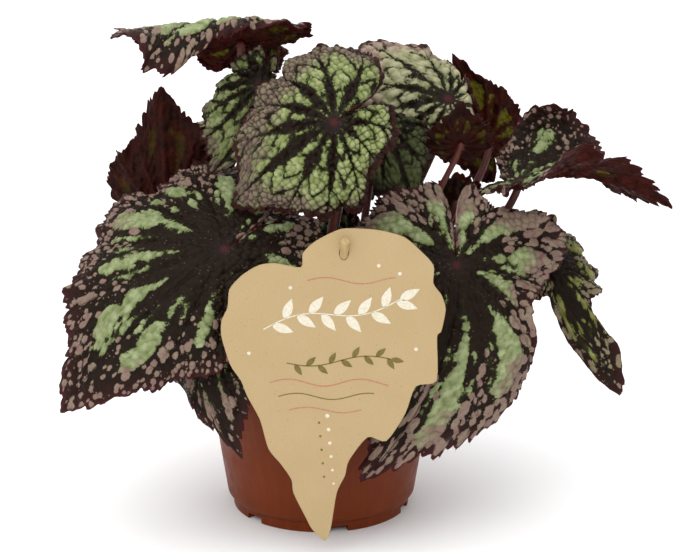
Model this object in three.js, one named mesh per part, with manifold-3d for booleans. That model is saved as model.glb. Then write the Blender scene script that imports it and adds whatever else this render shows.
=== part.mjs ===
// A potted rex begonia: a terracotta-coloured nursery pot filled with soil, a creeping
// rhizome, twenty leaves on stalks of their own, and a card label on a wooden stick.
// Millimetres, +Z up. The origin is the centre of the pot's base and the front faces -Y.

import * as THREE from 'three';
import { mergeVertices } from 'three/addons/utils/BufferGeometryUtils.js';
import Module from 'manifold-3d';

const wasm = await Module();
wasm.setup();

// Driving dimensions of the pot
const POT_HEIGHT = 98;
const RIM_RADIUS = 62;
const RIM_DEPTH = 13;
const RIM_STEP = 1.8;
const SHOULDER_RADIUS = 59.6;
const FOOT_RADIUS = 44.5;
const FOOT_HEIGHT = 5;
const WALL_FOOT_RADIUS = 48;
const WALL_FOOT_HEIGHT = 11;
const WALL = 1.7;
const FLOOR = 2.4;
const POT_SIDES = 40;
const NOTCH_COUNT = 6;
const NOTCH_WIDTH = 10;
const NOTCH_HEIGHT = 3;
const DRAIN_COUNT = 4;
const DRAIN_RADIUS = 3.5;
const DRAIN_CIRCLE = 24;

// Soil and rhizome
const GAP = 0.35;
const SOIL_EDGE_HEIGHT = 85;
const SOIL_CROWN_HEIGHT = 89;
const SOIL_LUMP = 0.7;
const RHIZOME_SIZE = [19, 6.5, 5.5];
const RHIZOME_HEIGHT = 88.5;

// Leaves
const BLADE_THICKNESS = 0.8;
const STALK_FOOT = 81;
const STALK_SIDES = 6;
const STALK_STEPS = 8;
const STALK_HOLE_GAP = 0.6;
const TOOTH = 0.022;

// Label
const CARD_THICKNESS = 0.9;
const CARD_PLANE = -76;
const STICK_RADIUS = 2;
const STICK_FOOT = [6, -20, 80];
const STICK_EYE = [11.5, CARD_PLANE, 156];
const STICK_PAST_EYE = 10;

// Half of the blade's outline: degrees away from the tip, and the reach from the
// junction with the stalk as a share of the blade's length.
const OUTLINE = [
  [0, 1.0], [7, 0.9], [18, 0.765], [34, 0.685], [52, 0.655], [72, 0.625], [92, 0.6],
  [115, 0.575], [138, 0.55], [158, 0.51], [170, 0.43], [177, 0.25], [180, 0.1],
];
const OUTLINE_START_SLOPE = -0.016;
const OUTLINE_END_SLOPE = -0.03;

// The main veins leave the junction at these angles on both sides of the midrib.
const VEIN_ANGLES = [0, 27, 54, 84, 118, 152, 180];

// The angles at which a leaf's eight lobe factors stretch or shorten its outline.
const LOBE_ANGLES = [-180, -150, -105, -65, -30, 0, 30, 65, 105, 150, 180];

// What a leaf has unless its own entry below says otherwise. Angles in degrees:
//   heading, pitch   the way the tip points: compass angle from +X, and up or down
//   roll             turn about the midrib
//   wide, skew       width, and how much larger the left half is than the right
//   lobes            reach factors at the eight inner lobe angles
//   fold             crease along the midrib, both halves alike
//   droopLeft/Right  how far each half bends down between midrib and margin
//   curlLeft/Right   further bend that grows towards the margin
//   arch, base       how far the tip end and the stalk end bend down
//   twist, sway      turn of the tip end about the midrib, and its sideways sweep
//   pleat, wave      height of the pleats between the veins and of the waved margin
//   lean             how much the stalk arrives along the midrib, not square to it
//   rise, reach      lengths of stalk that keep the direction of its foot and its top
const PLAIN_LEAF = {
  heading: 0, pitch: 0, roll: 0, length: 100, wide: 1, skew: 0,
  lobes: [1, 1, 1, 1, 1, 1, 1, 1],
  fold: 0, droopLeft: 60, droopRight: 60, curlLeft: 0, curlRight: 0,
  arch: 60, base: 40, twist: 0, sway: 0,
  pleat: 1.6, wave: 3, waves: 11, phase: 0,
  stalk: 2.2, lean: 0.6, rise: 50, reach: 22, underside: false, small: false,
};

const LEAVES = [
  {
    name: 'front_left', junction: [-46, -50, 150], heading: 209, pitch: -28, roll: -40,
    length: 115, wide: 0.97, skew: -0.1, lobes: [0.9, 0.85, 0.97, 1, 0.95, 0.78, 0.85, 0.92],
    droopLeft: 80, droopRight: 45, arch: 45, base: 30, waves: 9,
    root: [-16, -17], stalk: 2.6, rise: 45, reach: 30,
  },
  {
    name: 'centre', junction: [7, -45, 212], heading: 197, pitch: -27, roll: -50,
    length: 70, wide: 1.1, lobes: [1.15, 1.25, 1.0, 1, 1, 0.95, 0.65, 0.8],
    droopLeft: 55, arch: 55, base: 20,
    root: [0, -16], rise: 70, reach: 25, droopRight: 45,
  },
  {
    name: 'top_left', junction: [-39.5, 13, 237.5], heading: 186, pitch: 19, roll: 70,
    length: 73, wide: 0.75, lobes: [0.82, 0.48, 0.64, 1.1, 1.5, 0.95, 0.85, 0.95],
    droopLeft: 50, curlLeft: 90, droopRight: 20, arch: 52, base: -50, twist: -75,
    root: [-24, 4], lean: 0.9, rise: 80, reach: 4,
  },
  {
    name: 'left_upright', junction: [-77, 13.5, 147.5], heading: 262, pitch: 84,
    length: 70, wide: 0.88, lobes: [0.6, 0.8, 0.95, 0.88, 1, 1.1, 0.9, 0.6],
    droopLeft: -25, droopRight: -40, arch: 5, base: 10,
    root: [-36, -4], lean: 0.8, rise: 35, reach: 22, underside: true,
  },
  {
    name: 'mid_left', junction: [-29, -1, 219], heading: 250, pitch: -58, roll: -26,
    length: 49, wide: 1.1, sway: -0.3, lobes: [0.65, 0.6, 1.03, 1, 0.7, 0.3, 0.3, 0.3],
    droopLeft: 40, droopRight: 90, arch: 35, base: -30,
    root: [-6, 14], rise: 80, reach: 22,
  },
  {
    name: 'top_centre', junction: [63.5, 20, 206], heading: 150, pitch: 35, roll: -28,
    length: 58, wide: 1.15, lobes: [0.4, 0.35, 0.5, 0.8, 1.15, 1.15, 0.85, 0.7],
    droopLeft: 50, droopRight: 50, arch: 30, base: 70,
    root: [20, 12], stalk: 2, rise: 70, reach: 20,
  },
  {
    name: 'mid_right', junction: [33, 2, 197.5], heading: 308, pitch: -58, roll: 25,
    length: 45, lobes: [0.3, 0.45, 1, 1, 0.9, 0.75, 0.4, 0.3],
    droopLeft: 30, droopRight: 40, arch: 20, base: 70,
    root: [12, -11], stalk: 2, rise: 70, reach: 20,
  },
  {
    name: 'right_upright', junction: [85, 53, 176.5], heading: 205, pitch: 68, roll: 62,
    length: 50, wide: 0.68,
    droopLeft: -20, droopRight: -20, arch: 10, base: 10,
    root: [33, 11], stalk: 2, lean: 0.8, rise: 50, reach: 20, underside: true,
  },
  {
    name: 'far_right', junction: [98, 0, 170], heading: -6, pitch: 16,
    length: 77, wide: 1.1, sway: -0.08, lobes: [0.3, 0.4, 1.18, 0.97, 1.0, 1.1, 0.55, 0.2],
    droopLeft: -80, curlLeft: -40, droopRight: -10, arch: 48, base: 30, twist: -60,
    root: [35, -8], rise: 45, reach: 30,
  },
  {
    name: 'front_right', junction: [66.5, -36, 137.5], heading: 275, pitch: -58,
    length: 105, sway: -0.45, lobes: [0.84, 0.96, 0.6, 0.8, 1.3, 0.62, 0.98, 0.7],
    droopLeft: 35, droopRight: 30, arch: 35, base: 20, wave: 4, waves: 7,
    root: [22, -20], stalk: 2.6, rise: 45, reach: 30,
  },
  {
    name: 'low_right', junction: [114, 5, 126], heading: -46, pitch: -50, roll: 20,
    length: 76, wide: 0.92, sway: 0.13, lobes: [0.7, 0.65, 0.5, 0.36, 0.58, 0.8, 0.8, 0.7],
    droopLeft: 80, droopRight: 95, arch: 30,
    root: [38, 3], rise: 35, reach: 35,
  },
  {
    name: 'young_right', junction: [67, 10, 157], heading: 275, pitch: 60,
    length: 21, wide: 1.1,
    droopLeft: -30, droopRight: -30, arch: 10, base: 20,
    root: [28, 4], stalk: 1.6, rise: 40, reach: 14, underside: true, small: true,
  },
  {
    name: 'curled_right', junction: [68.6, -7, 190.8], heading: 280, pitch: 78,
    length: 21, wide: 1.3,
    droopLeft: -20, droopRight: -20, arch: -20, base: 10,
    root: [25, -4], stalk: 1.6, lean: 0.8, rise: 70, reach: 5, underside: true, small: true,
  },
  {
    name: 'low_left', junction: [-51, -53, 102], heading: 245, pitch: -62,
    length: 52, sway: 0.4, lobes: [0.7, 1, 1, 1, 0.9, 0.8, 0.6, 0.45],
    droopLeft: 30, droopRight: 50, arch: 20,
    root: [-28, -25], stalk: 1.8, rise: 22, reach: 25, small: true,
  },
  {
    name: 'left_behind', junction: [-69, 35, 181], heading: 180, pitch: -30, roll: -20,
    length: 38, sway: 0.2,
    droopLeft: 50, droopRight: 50, arch: 20,
    root: [-33, 8], stalk: 1.8, rise: 50, reach: 20, small: true,
  },
  {
    name: 'back_left', junction: [-40, 52, 136], heading: 138, pitch: -20,
    length: 68, lobes: [1, 1, 1, 1, 1, 1, 0.8, 0.7],
    arch: 55,
    root: [-16, 24], rise: 35, reach: 28,
  },
  {
    name: 'back_centre', junction: [12, 54, 168], heading: 88, pitch: -18,
    length: 72, lobes: [1.1, 1, 1, 1, 1, 1, 1, 1.1],
    arch: 60, base: 70,
    root: [2, 22], rise: 50, reach: 28,
  },
  {
    name: 'back_right', junction: [60, 57, 131], heading: 42, pitch: -22,
    length: 68, lobes: [0.8, 1, 1, 1, 1, 1, 1, 1.15],
    arch: 55,
    root: [17, 26], rise: 35, reach: 28,
  },
  {
    name: 'back_low_left', junction: [-68, 24, 110], heading: 165, pitch: -35,
    length: 52, lobes: [0.6, 0.8, 1, 1, 1, 1, 0.8, 0.6],
    droopLeft: 25, arch: 35,
    root: [-29, 20], stalk: 1.8, rise: 24, reach: 20, small: true,
  },
  {
    name: 'back_low_right', junction: [7, 60, 119], heading: 90, pitch: 20,
    length: 36, wide: 1.1,
    arch: 5,
    root: [6, 36], stalk: 1.8, rise: 24, reach: 20, small: true,
  },
];

// Rings of points on a blade: share of the way from the junction to the margin, and
// the number of points round the ring, each ring equal to or twice the one inside it.
const BLADE_RINGS = [[0.18, 12], [0.45, 24], [0.75, 48], [1, 48]];
const SMALL_BLADE_RINGS = [[0.25, 8], [0.6, 16], [1, 32]];

// The card's outline, seen from the front: across and up, clockwise from the top.
const CARD_OUTLINE = [
  [10, 168], [22, 168], [30, 167], [40, 164], [47, 158], [54, 150], [54, 141], [58, 135],
  [60, 128], [58, 117], [56, 114], [56, 92], [46, 89], [41, 75], [32, 61], [23, 63],
  [14, 51], [12, 43], [8, 34], [5, 15], [2, 9], [-4, 15], [-7, 21], [-13, 34], [-14, 41],
  [-19, 49], [-25, 57], [-29, 72], [-35, 84], [-38, 92], [-43, 100], [-47, 114],
  [-47, 122], [-44, 129], [-43, 138], [-37, 145], [-29, 150], [-21, 151], [-9, 149],
  [-8, 156], [-2, 162],
];

const COLOURS = {
  pot: 0x8a4a2c,
  soil: 0x2b1f18,
  rhizome: 0x5a3b25,
  bladeTop: 0x66705a,
  bladeUnder: 0x5a2418,
  stalk: 0x6e2f24,
  card: 0xcdb07d,
  stick: 0xd9bf8a,
};

const group = new THREE.Group();

// Small helpers

function radians(degrees) {
  return degrees * Math.PI / 180;
}

function smooth(from, to, value) {
  const t = Math.min(Math.max((value - from) / (to - from), 0), 1);
  return t * t * (3 - 2 * t);
}

function addPiece(name, geometry, colour, roughness) {
  const material = new THREE.MeshStandardMaterial({ color: colour, roughness, metalness: 0 });
  const mesh = new THREE.Mesh(geometry, material);
  mesh.name = name;
  group.add(mesh);
}

function toSolid(geometry) {
  let bare = geometry.clone();
  bare.deleteAttribute('normal');
  bare.deleteAttribute('uv');
  bare = mergeVertices(bare, 1e-4);
  return new wasm.Manifold(new wasm.Mesh({
    numProp: 3,
    vertProperties: new Float32Array(bare.attributes.position.array),
    triVerts: new Uint32Array(bare.index.array),
  }));
}

function toGeometry(solid) {
  const mesh = solid.getMesh();
  const geometry = new THREE.BufferGeometry();
  geometry.setAttribute('position', new THREE.BufferAttribute(mesh.vertProperties, 3));
  geometry.setIndex(new THREE.BufferAttribute(mesh.triVerts, 1));
  geometry.computeVertexNormals();
  return geometry;
}

// A lathe turns about +Y, so the turned body is stood up to turn about +Z.
function turned(profile, sides) {
  const points = profile.map(([r, z]) => new THREE.Vector2(r, z));
  const geometry = new THREE.LatheGeometry(points, sides);
  geometry.rotateX(Math.PI / 2);
  return geometry;
}

function tube(curve, radius, sides, steps) {
  const section = new THREE.Shape();
  for (let i = 0; i < sides; i += 1) {
    const angle = 2 * Math.PI * i / sides;
    const x = radius * Math.cos(angle);
    const y = radius * Math.sin(angle);
    if (i === 0) {
      section.moveTo(x, y);
    } else {
      section.lineTo(x, y);
    }
  }
  return new THREE.ExtrudeGeometry(section, { steps, extrudePath: curve, bevelEnabled: false });
}

// Leaf blades

function outlineReach(angle) {
  const a = Math.abs(angle) * 180 / Math.PI;
  const last = OUTLINE.length - 1;
  let i = 0;
  while (i < last - 1 && a > OUTLINE[i + 1][0]) {
    i += 1;
  }
  const slopeAt = (k) => {
    if (k === 0) {
      return OUTLINE_START_SLOPE;
    }
    if (k === last) {
      return OUTLINE_END_SLOPE;
    }
    return (OUTLINE[k + 1][1] - OUTLINE[k - 1][1]) / (OUTLINE[k + 1][0] - OUTLINE[k - 1][0]);
  };
  const span = OUTLINE[i + 1][0] - OUTLINE[i][0];
  const t = Math.min((a - OUTLINE[i][0]) / span, 1);
  const t2 = t * t;
  const t3 = t2 * t;
  return (2 * t3 - 3 * t2 + 1) * OUTLINE[i][1] + (t3 - 2 * t2 + t) * span * slopeAt(i)
    + (3 * t2 - 2 * t3) * OUTLINE[i + 1][1] + (t3 - t2) * span * slopeAt(i + 1);
}

function lobeFactor(leaf, angle) {
  const factors = [1, ...leaf.lobes.slice(0, 4), 1, ...leaf.lobes.slice(4), 1];
  const a = angle * 180 / Math.PI;
  let i = 0;
  while (i < LOBE_ANGLES.length - 2 && a > LOBE_ANGLES[i + 1]) {
    i += 1;
  }
  const t = smooth(LOBE_ANGLES[i], LOBE_ANGLES[i + 1], a);
  return factors[i] * (1 - t) + factors[i + 1] * t;
}

// How far a place lies between two main veins: 0 on a vein, 1 midway. The veins sweep
// towards the tip on their way out.
function betweenVeins(angle, s) {
  const sweep = 14;
  let a = Math.abs(angle) * 180 / Math.PI;
  a += sweep * s * s * Math.sin(radians(a));
  let i = 0;
  while (i < VEIN_ANGLES.length - 2 && a > VEIN_ANGLES[i + 1]) {
    i += 1;
  }
  const t = Math.min((a - VEIN_ANGLES[i]) / (VEIN_ANGLES[i + 1] - VEIN_ANGLES[i]), 1);
  return 1 - Math.abs(2 * t - 1);
}

// Follows a line that starts level and bends by slope(u), and gives how far it got
// forward and down when its length is reached.
function bend(slope, length) {
  const steps = 14;
  let forward = 0;
  let down = 0;
  for (let i = 0; i < steps; i += 1) {
    const angle = slope((i + 0.5) / steps * length);
    forward += Math.cos(angle) * length / steps;
    down += Math.sin(angle) * length / steps;
  }
  return [forward, down];
}

// A place on the blade's middle surface: s runs from the junction (0) to the margin (1)
// and angle goes round the junction from the tip, to the left. The blade lies along its
// own x axis here, with its upper face towards z.
function bladeShape(leaf, s, angle, tooth) {
  const size = leaf.length;
  const halfWidth = size * 0.6 * leaf.wide;
  const vein = betweenVeins(angle, s);
  let reach = outlineReach(angle) * size * (1 + leaf.skew * Math.sin(angle));
  reach *= lobeFactor(leaf, angle) * (1 + 0.05 * (0.5 - vein) * smooth(0.5, 1, s)) * (1 + tooth);
  const x = reach * s * Math.cos(angle) / size;
  const y = reach * s * Math.sin(angle) * leaf.wide;
  const side = y >= 0 ? 1 : -1;

  const droop = radians(side > 0 ? leaf.droopLeft : leaf.droopRight);
  const curl = radians(side > 0 ? leaf.curlLeft : leaf.curlRight);
  const fold = radians(leaf.fold);
  const across = (u) => fold * Math.min(u * 8, 1) + droop * u + curl * u ** 3;
  const u = Math.abs(y) / halfWidth;
  const [out, drop] = bend(across, u).map((v) => v * halfWidth);
  const phi = across(u);

  const ahead = x >= 0 ? 1 : -1;
  const along = (v) => (ahead > 0 ? radians(leaf.arch) * v : radians(leaf.base) * v / 0.5);
  const [forward, down] = bend(along, Math.abs(x)).map((v) => v * size);
  const psi = along(Math.abs(x));

  const twist = radians(leaf.twist) * Math.max(x, 0);
  const normal = new THREE.Vector3(ahead * Math.sin(psi), 0, Math.cos(psi));
  const left = new THREE.Vector3(0, 1, 0);
  const turnedLeft = left.clone().multiplyScalar(Math.cos(twist))
    .addScaledVector(normal, Math.sin(twist));
  const turnedUp = normal.clone().multiplyScalar(Math.cos(twist))
    .addScaledVector(left, -Math.sin(twist));
  const facing = turnedUp.clone().multiplyScalar(Math.cos(phi))
    .addScaledVector(turnedLeft, side * Math.sin(phi));

  const radial = reach * s / size;
  const pleat = leaf.pleat * size / 110 * (vein ** 0.7 - 0.5)
    * smooth(0.06, 0.3, radial) * (1 - 0.5 * smooth(0.8, 1, s));
  const wave = leaf.wave * size / 110 * Math.sin(leaf.waves * angle + leaf.phase)
    * smooth(0.62, 1, s) ** 1.5 * (1 - smooth(radians(150), radians(175), Math.abs(angle)));

  const place = new THREE.Vector3(ahead * forward, leaf.sway * size * Math.max(x, 0) ** 2, -down);
  place.addScaledVector(turnedLeft, side * out);
  place.addScaledVector(turnedUp, -drop);
  place.addScaledVector(facing, pleat + wave);
  return place;
}

// The blade's own axes in the pot's frame: along the midrib, to the left, and up.
function bladeAxes(leaf) {
  const h = radians(leaf.heading);
  const p = radians(leaf.pitch);
  const r = radians(leaf.roll);
  const along = new THREE.Vector3(Math.cos(h) * Math.cos(p), Math.sin(h) * Math.cos(p), Math.sin(p));
  const level = new THREE.Vector3(-Math.sin(h), Math.cos(h), 0);
  const square = new THREE.Vector3().crossVectors(along, level);
  const left = level.clone().multiplyScalar(Math.cos(r)).addScaledVector(square, Math.sin(r));
  const up = square.clone().multiplyScalar(Math.cos(r)).addScaledVector(level, -Math.sin(r));
  return { along, left, up };
}

function bladePoint(leaf, axes, s, angle, tooth = 0) {
  const p = bladeShape(leaf, s, angle, tooth);
  return new THREE.Vector3(...leaf.junction)
    .addScaledVector(axes.along, p.x)
    .addScaledVector(axes.left, p.y)
    .addScaledVector(axes.up, p.z);
}

function bladeNormal(leaf, axes, s, angle) {
  const step = 0.02;
  const inner = bladePoint(leaf, axes, Math.max(s - step, 0.01), angle);
  const outer = bladePoint(leaf, axes, s, angle);
  const before = bladePoint(leaf, axes, s, angle - step);
  const after = bladePoint(leaf, axes, s, angle + step);
  return new THREE.Vector3()
    .crossVectors(outer.sub(inner), after.sub(before))
    .normalize();
}

function bladeGeometry(leaf, axes) {
  const rings = leaf.small ? SMALL_BLADE_RINGS : BLADE_RINGS;
  const middle = [new THREE.Vector3(...leaf.junction)];
  const normals = [axes.up.clone()];
  const ringStarts = [];
  rings.forEach(([s, count]) => {
    ringStarts.push(middle.length);
    for (let i = 0; i < count; i += 1) {
      const angle = 2 * Math.PI * i / count - (2 * i >= count ? 2 * Math.PI : 0);
      const tooth = s === 1 && i !== 0 ? TOOTH * (i % 2 ? -1 : 1) : 0;
      middle.push(bladePoint(leaf, axes, s, angle, tooth));
      normals.push(bladeNormal(leaf, axes, s, angle));
    }
  });

  // triangles of the upper face, from the junction outwards
  const face = [];
  for (let i = 0; i < rings[0][1]; i += 1) {
    face.push([0, ringStarts[0] + i, ringStarts[0] + (i + 1) % rings[0][1]]);
  }
  for (let r = 1; r < rings.length; r += 1) {
    const inside = rings[r - 1][1];
    const outside = rings[r][1];
    for (let i = 0; i < inside; i += 1) {
      const a = ringStarts[r - 1] + i;
      const b = ringStarts[r - 1] + (i + 1) % inside;
      if (outside === inside) {
        const c = ringStarts[r] + i;
        const d = ringStarts[r] + (i + 1) % outside;
        face.push([a, c, d], [a, d, b]);
      } else {
        const c = ringStarts[r] + 2 * i;
        const d = c + 1;
        const e = ringStarts[r] + (2 * i + 2) % outside;
        face.push([a, c, d], [a, d, b], [b, d, e]);
      }
    }
  }

  const positions = [];
  middle.forEach((p, i) => {
    positions.push(p.clone().addScaledVector(normals[i], BLADE_THICKNESS / 2));
  });
  middle.forEach((p, i) => {
    positions.push(p.clone().addScaledVector(normals[i], -BLADE_THICKNESS / 2));
  });
  const lower = middle.length;
  const triangles = [];
  face.forEach(([a, b, c]) => {
    triangles.push(a, b, c, lower + a, lower + c, lower + b);
  });
  const margin = ringStarts[rings.length - 1];
  const marginCount = rings[rings.length - 1][1];
  for (let i = 0; i < marginCount; i += 1) {
    const a = margin + i;
    const b = margin + (i + 1) % marginCount;
    triangles.push(a, lower + a, lower + b, a, lower + b, b);
  }
  const geometry = new THREE.BufferGeometry().setFromPoints(positions);
  geometry.setIndex(triangles);
  geometry.computeVertexNormals();
  return geometry;
}

// Leaf stalks: each rises from the soil and ends just under its blade.

function stalkCurve(leaf, axes, extra) {
  const arriving = axes.up.clone().addScaledVector(axes.along, leaf.lean).normalize();
  const slant = Math.sqrt(Math.max(1 - arriving.dot(axes.up) ** 2, 0));
  const top = new THREE.Vector3(...leaf.junction)
    .addScaledVector(axes.up, -(BLADE_THICKNESS / 2 + GAP + leaf.stalk * slant));
  const foot = new THREE.Vector3(leaf.root[0], leaf.root[1], STALK_FOOT - extra);
  const outward = new THREE.Vector3(leaf.root[0], leaf.root[1], 0).multiplyScalar(0.012);
  const rising = new THREE.Vector3(0, 0, 1).add(outward).normalize();
  return new THREE.CubicBezierCurve3(
    foot,
    foot.clone().addScaledVector(rising, leaf.rise),
    top.clone().addScaledVector(arriving, -leaf.reach),
    top,
  );
}

function stalkGeometry(leaf, axes, extra = 0) {
  return tube(stalkCurve(leaf, axes, extra), leaf.stalk + extra, STALK_SIDES, STALK_STEPS);
}

// Pot

function potSolid() {
  const rimFoot = POT_HEIGHT - RIM_DEPTH;
  const profile = [
    [0, 0],
    [FOOT_RADIUS, 0],
    [FOOT_RADIUS, FOOT_HEIGHT],
    [WALL_FOOT_RADIUS - 0.6, FOOT_HEIGHT + 2.5],
    [WALL_FOOT_RADIUS, WALL_FOOT_HEIGHT],
    [SHOULDER_RADIUS, rimFoot],
    [RIM_RADIUS - 0.6, rimFoot + 0.8],
    [RIM_RADIUS, POT_HEIGHT - 1],
    [RIM_RADIUS - 0.5, POT_HEIGHT],
    [RIM_RADIUS - RIM_STEP, POT_HEIGHT],
    [SHOULDER_RADIUS - WALL, rimFoot],
    [WALL_FOOT_RADIUS - WALL, WALL_FOOT_HEIGHT],
    [FOOT_RADIUS - WALL, FOOT_HEIGHT + 1],
    [FOOT_RADIUS - WALL - 1, FLOOR],
    [0, FLOOR],
  ];
  let pot = toSolid(turned(profile, POT_SIDES));
  for (let i = 0; i < NOTCH_COUNT; i += 1) {
    const angle = 2 * Math.PI * (i + 0.5) / NOTCH_COUNT + 0.2;
    const notch = new THREE.BoxGeometry(12, NOTCH_WIDTH, 2 * NOTCH_HEIGHT);
    notch.translate(FOOT_RADIUS, 0, 0);
    notch.rotateZ(angle);
    pot = pot.subtract(toSolid(notch));
  }
  for (let i = 0; i < DRAIN_COUNT; i += 1) {
    const angle = 2 * Math.PI * i / DRAIN_COUNT + 0.4;
    const drain = new THREE.CylinderGeometry(DRAIN_RADIUS, DRAIN_RADIUS, 3 * FLOOR, 10);
    drain.rotateX(Math.PI / 2);
    drain.translate(DRAIN_CIRCLE * Math.cos(angle), DRAIN_CIRCLE * Math.sin(angle), 0);
    pot = pot.subtract(toSolid(drain));
  }
  return pot;
}

// Rhizome: a short, knobbly, creeping stem, half sunk in the soil

function rhizomeGeometry(extra = 0) {
  const geometry = new THREE.SphereGeometry(1, 16, 10);
  geometry.rotateX(Math.PI / 2);
  const position = geometry.attributes.position;
  for (let i = 0; i < position.count; i += 1) {
    const x = position.getX(i);
    const y = position.getY(i);
    const z = position.getZ(i);
    const ringed = 1 + 0.06 * Math.sin(9 * x) * (1 - x * x);
    position.setXYZ(
      i,
      x * (RHIZOME_SIZE[0] + extra),
      y * (RHIZOME_SIZE[1] * ringed + extra) + 3 * (x * x - 0.4),
      RHIZOME_HEIGHT + z * (RHIZOME_SIZE[2] * ringed + extra),
    );
  }
  return geometry;
}

// Soil: fills the pot and rises a little to the middle, with a hole for each stalk

function soilLump(x, y) {
  return SOIL_LUMP * (Math.sin(0.31 * x + 0.9) * Math.cos(0.27 * y - 0.4)
    + 0.5 * Math.sin(0.55 * x - 0.38 * y));
}

function soilSolid(cutters) {
  const rimFoot = POT_HEIGHT - RIM_DEPTH;
  const topRadius = SHOULDER_RADIUS - WALL - GAP;
  const profile = [
    [0, FLOOR + GAP],
    [FOOT_RADIUS - WALL - 1 - GAP, FLOOR + GAP],
    [FOOT_RADIUS - WALL - GAP, FOOT_HEIGHT + 1],
    [WALL_FOOT_RADIUS - WALL - GAP, WALL_FOOT_HEIGHT],
    [topRadius - 0.2, rimFoot - 2],
    [topRadius - 8, SOIL_EDGE_HEIGHT + 1.5],
    [topRadius - 24, SOIL_CROWN_HEIGHT - 1],
    [18, SOIL_CROWN_HEIGHT],
    [0, SOIL_CROWN_HEIGHT],
  ];
  const geometry = turned(profile, POT_SIDES);
  const position = geometry.attributes.position;
  for (let i = 0; i < position.count; i += 1) {
    const z = position.getZ(i);
    if (z > SOIL_EDGE_HEIGHT) {
      position.setZ(i, z + soilLump(position.getX(i), position.getY(i)));
    }
  }
  let soil = toSolid(geometry);
  cutters.forEach((cutter) => {
    soil = soil.subtract(toSolid(cutter));
  });
  return soil;
}

// Label: a die-cut card that hangs on a round stick leaning out of the soil

function stickAxis() {
  const foot = new THREE.Vector3(...STICK_FOOT);
  const eye = new THREE.Vector3(...STICK_EYE);
  const direction = eye.clone().sub(foot).normalize();
  return { foot, direction, length: eye.distanceTo(foot) + STICK_PAST_EYE };
}

function stickGeometry(extra = 0) {
  const { foot, direction, length } = stickAxis();
  const geometry = new THREE.CylinderGeometry(
    STICK_RADIUS + extra,
    STICK_RADIUS + extra,
    length + 2 * extra,
    12,
  );
  geometry.applyQuaternion(new THREE.Quaternion().setFromUnitVectors(
    new THREE.Vector3(0, 1, 0),
    direction,
  ));
  const centre = foot.clone().addScaledVector(direction, length / 2);
  geometry.translate(centre.x, centre.y, centre.z);
  return geometry;
}

function cardSolid() {
  const shape = new THREE.Shape(CARD_OUTLINE.map(([x, z]) => new THREE.Vector2(x, z)));
  const card = new THREE.ExtrudeGeometry(shape, { depth: CARD_THICKNESS, bevelEnabled: false });
  card.rotateX(Math.PI / 2);
  card.translate(0, CARD_PLANE + CARD_THICKNESS / 2, 0);
  return toSolid(card).subtract(toSolid(stickGeometry(GAP)));
}

// Assembly

const soilCutters = [stickGeometry(GAP), rhizomeGeometry(GAP)];
for (const entry of LEAVES) {
  const leaf = { ...PLAIN_LEAF, ...entry };
  const axes = bladeAxes(leaf);
  const bladeColour = leaf.underside ? COLOURS.bladeUnder : COLOURS.bladeTop;
  addPiece(`blade_${leaf.name}`, bladeGeometry(leaf, axes), bladeColour, 0.6);
  addPiece(`stalk_${leaf.name}`, stalkGeometry(leaf, axes), COLOURS.stalk, 0.6);
  soilCutters.push(stalkGeometry(leaf, axes, STALK_HOLE_GAP));
}
addPiece('pot', toGeometry(potSolid()), COLOURS.pot, 0.55);
addPiece('soil', toGeometry(soilSolid(soilCutters)), COLOURS.soil, 1);
addPiece('rhizome', rhizomeGeometry(), COLOURS.rhizome, 0.8);
addPiece('label_card', toGeometry(cardSolid()), COLOURS.card, 0.85);
addPiece('label_stick', stickGeometry(), COLOURS.stick, 0.7);

export default group;
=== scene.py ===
"""The looks of a potted rex begonia: finely puckered and marked leaves on hairy stalks, a
terracotta-coloured pot with its soil and rhizome, and a kraft card on a wooden stick.

Leaves and stalks follow the same formula and values as the solids that they replace.
Values are in millimetres and degrees unless a name says otherwise.
"""

import math

import bmesh
import bpy
import numpy as np
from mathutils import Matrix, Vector


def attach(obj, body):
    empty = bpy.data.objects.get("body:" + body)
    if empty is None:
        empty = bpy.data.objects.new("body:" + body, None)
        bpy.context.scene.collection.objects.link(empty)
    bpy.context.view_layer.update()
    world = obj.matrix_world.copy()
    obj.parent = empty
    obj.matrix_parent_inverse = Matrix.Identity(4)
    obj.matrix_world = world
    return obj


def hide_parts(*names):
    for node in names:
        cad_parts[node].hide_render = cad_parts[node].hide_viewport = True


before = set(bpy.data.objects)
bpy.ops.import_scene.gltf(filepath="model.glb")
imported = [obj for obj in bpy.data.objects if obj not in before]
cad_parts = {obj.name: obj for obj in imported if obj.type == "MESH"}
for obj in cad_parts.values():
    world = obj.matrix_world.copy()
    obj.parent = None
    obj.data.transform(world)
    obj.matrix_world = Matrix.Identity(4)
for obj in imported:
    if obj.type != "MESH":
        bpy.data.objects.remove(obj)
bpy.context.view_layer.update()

MM = 0.001

# Camera: the photograph's point of view
CAMERA_TARGET = (9.6, 0, 120)
CAMERA_DISTANCE = 1600
CAMERA_ELEVATION = 18
CAMERA_LENS = 169.4
CAMERA_SENSOR = 36
CAMERA_CLIP = (0.1, 20)

# Studio: half the floor's width and the lights' place and size in metres, and their power
FLOOR_HALF = 6
SKY_STRENGTH = 0.92
LIGHTS = {
    "top_light": ((-0.3, -0.3, 1.9), 34, 3.4),
    "front_light": ((-0.9, -1.8, 1.2), 9, 1.6),
    "back_light": ((0.3, 1.4, 1.3), 6, 1.4),
}

# The studio is bright enough for a white floor, so every other colour is this much darker
LIGHTNESS = 0.83

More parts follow.
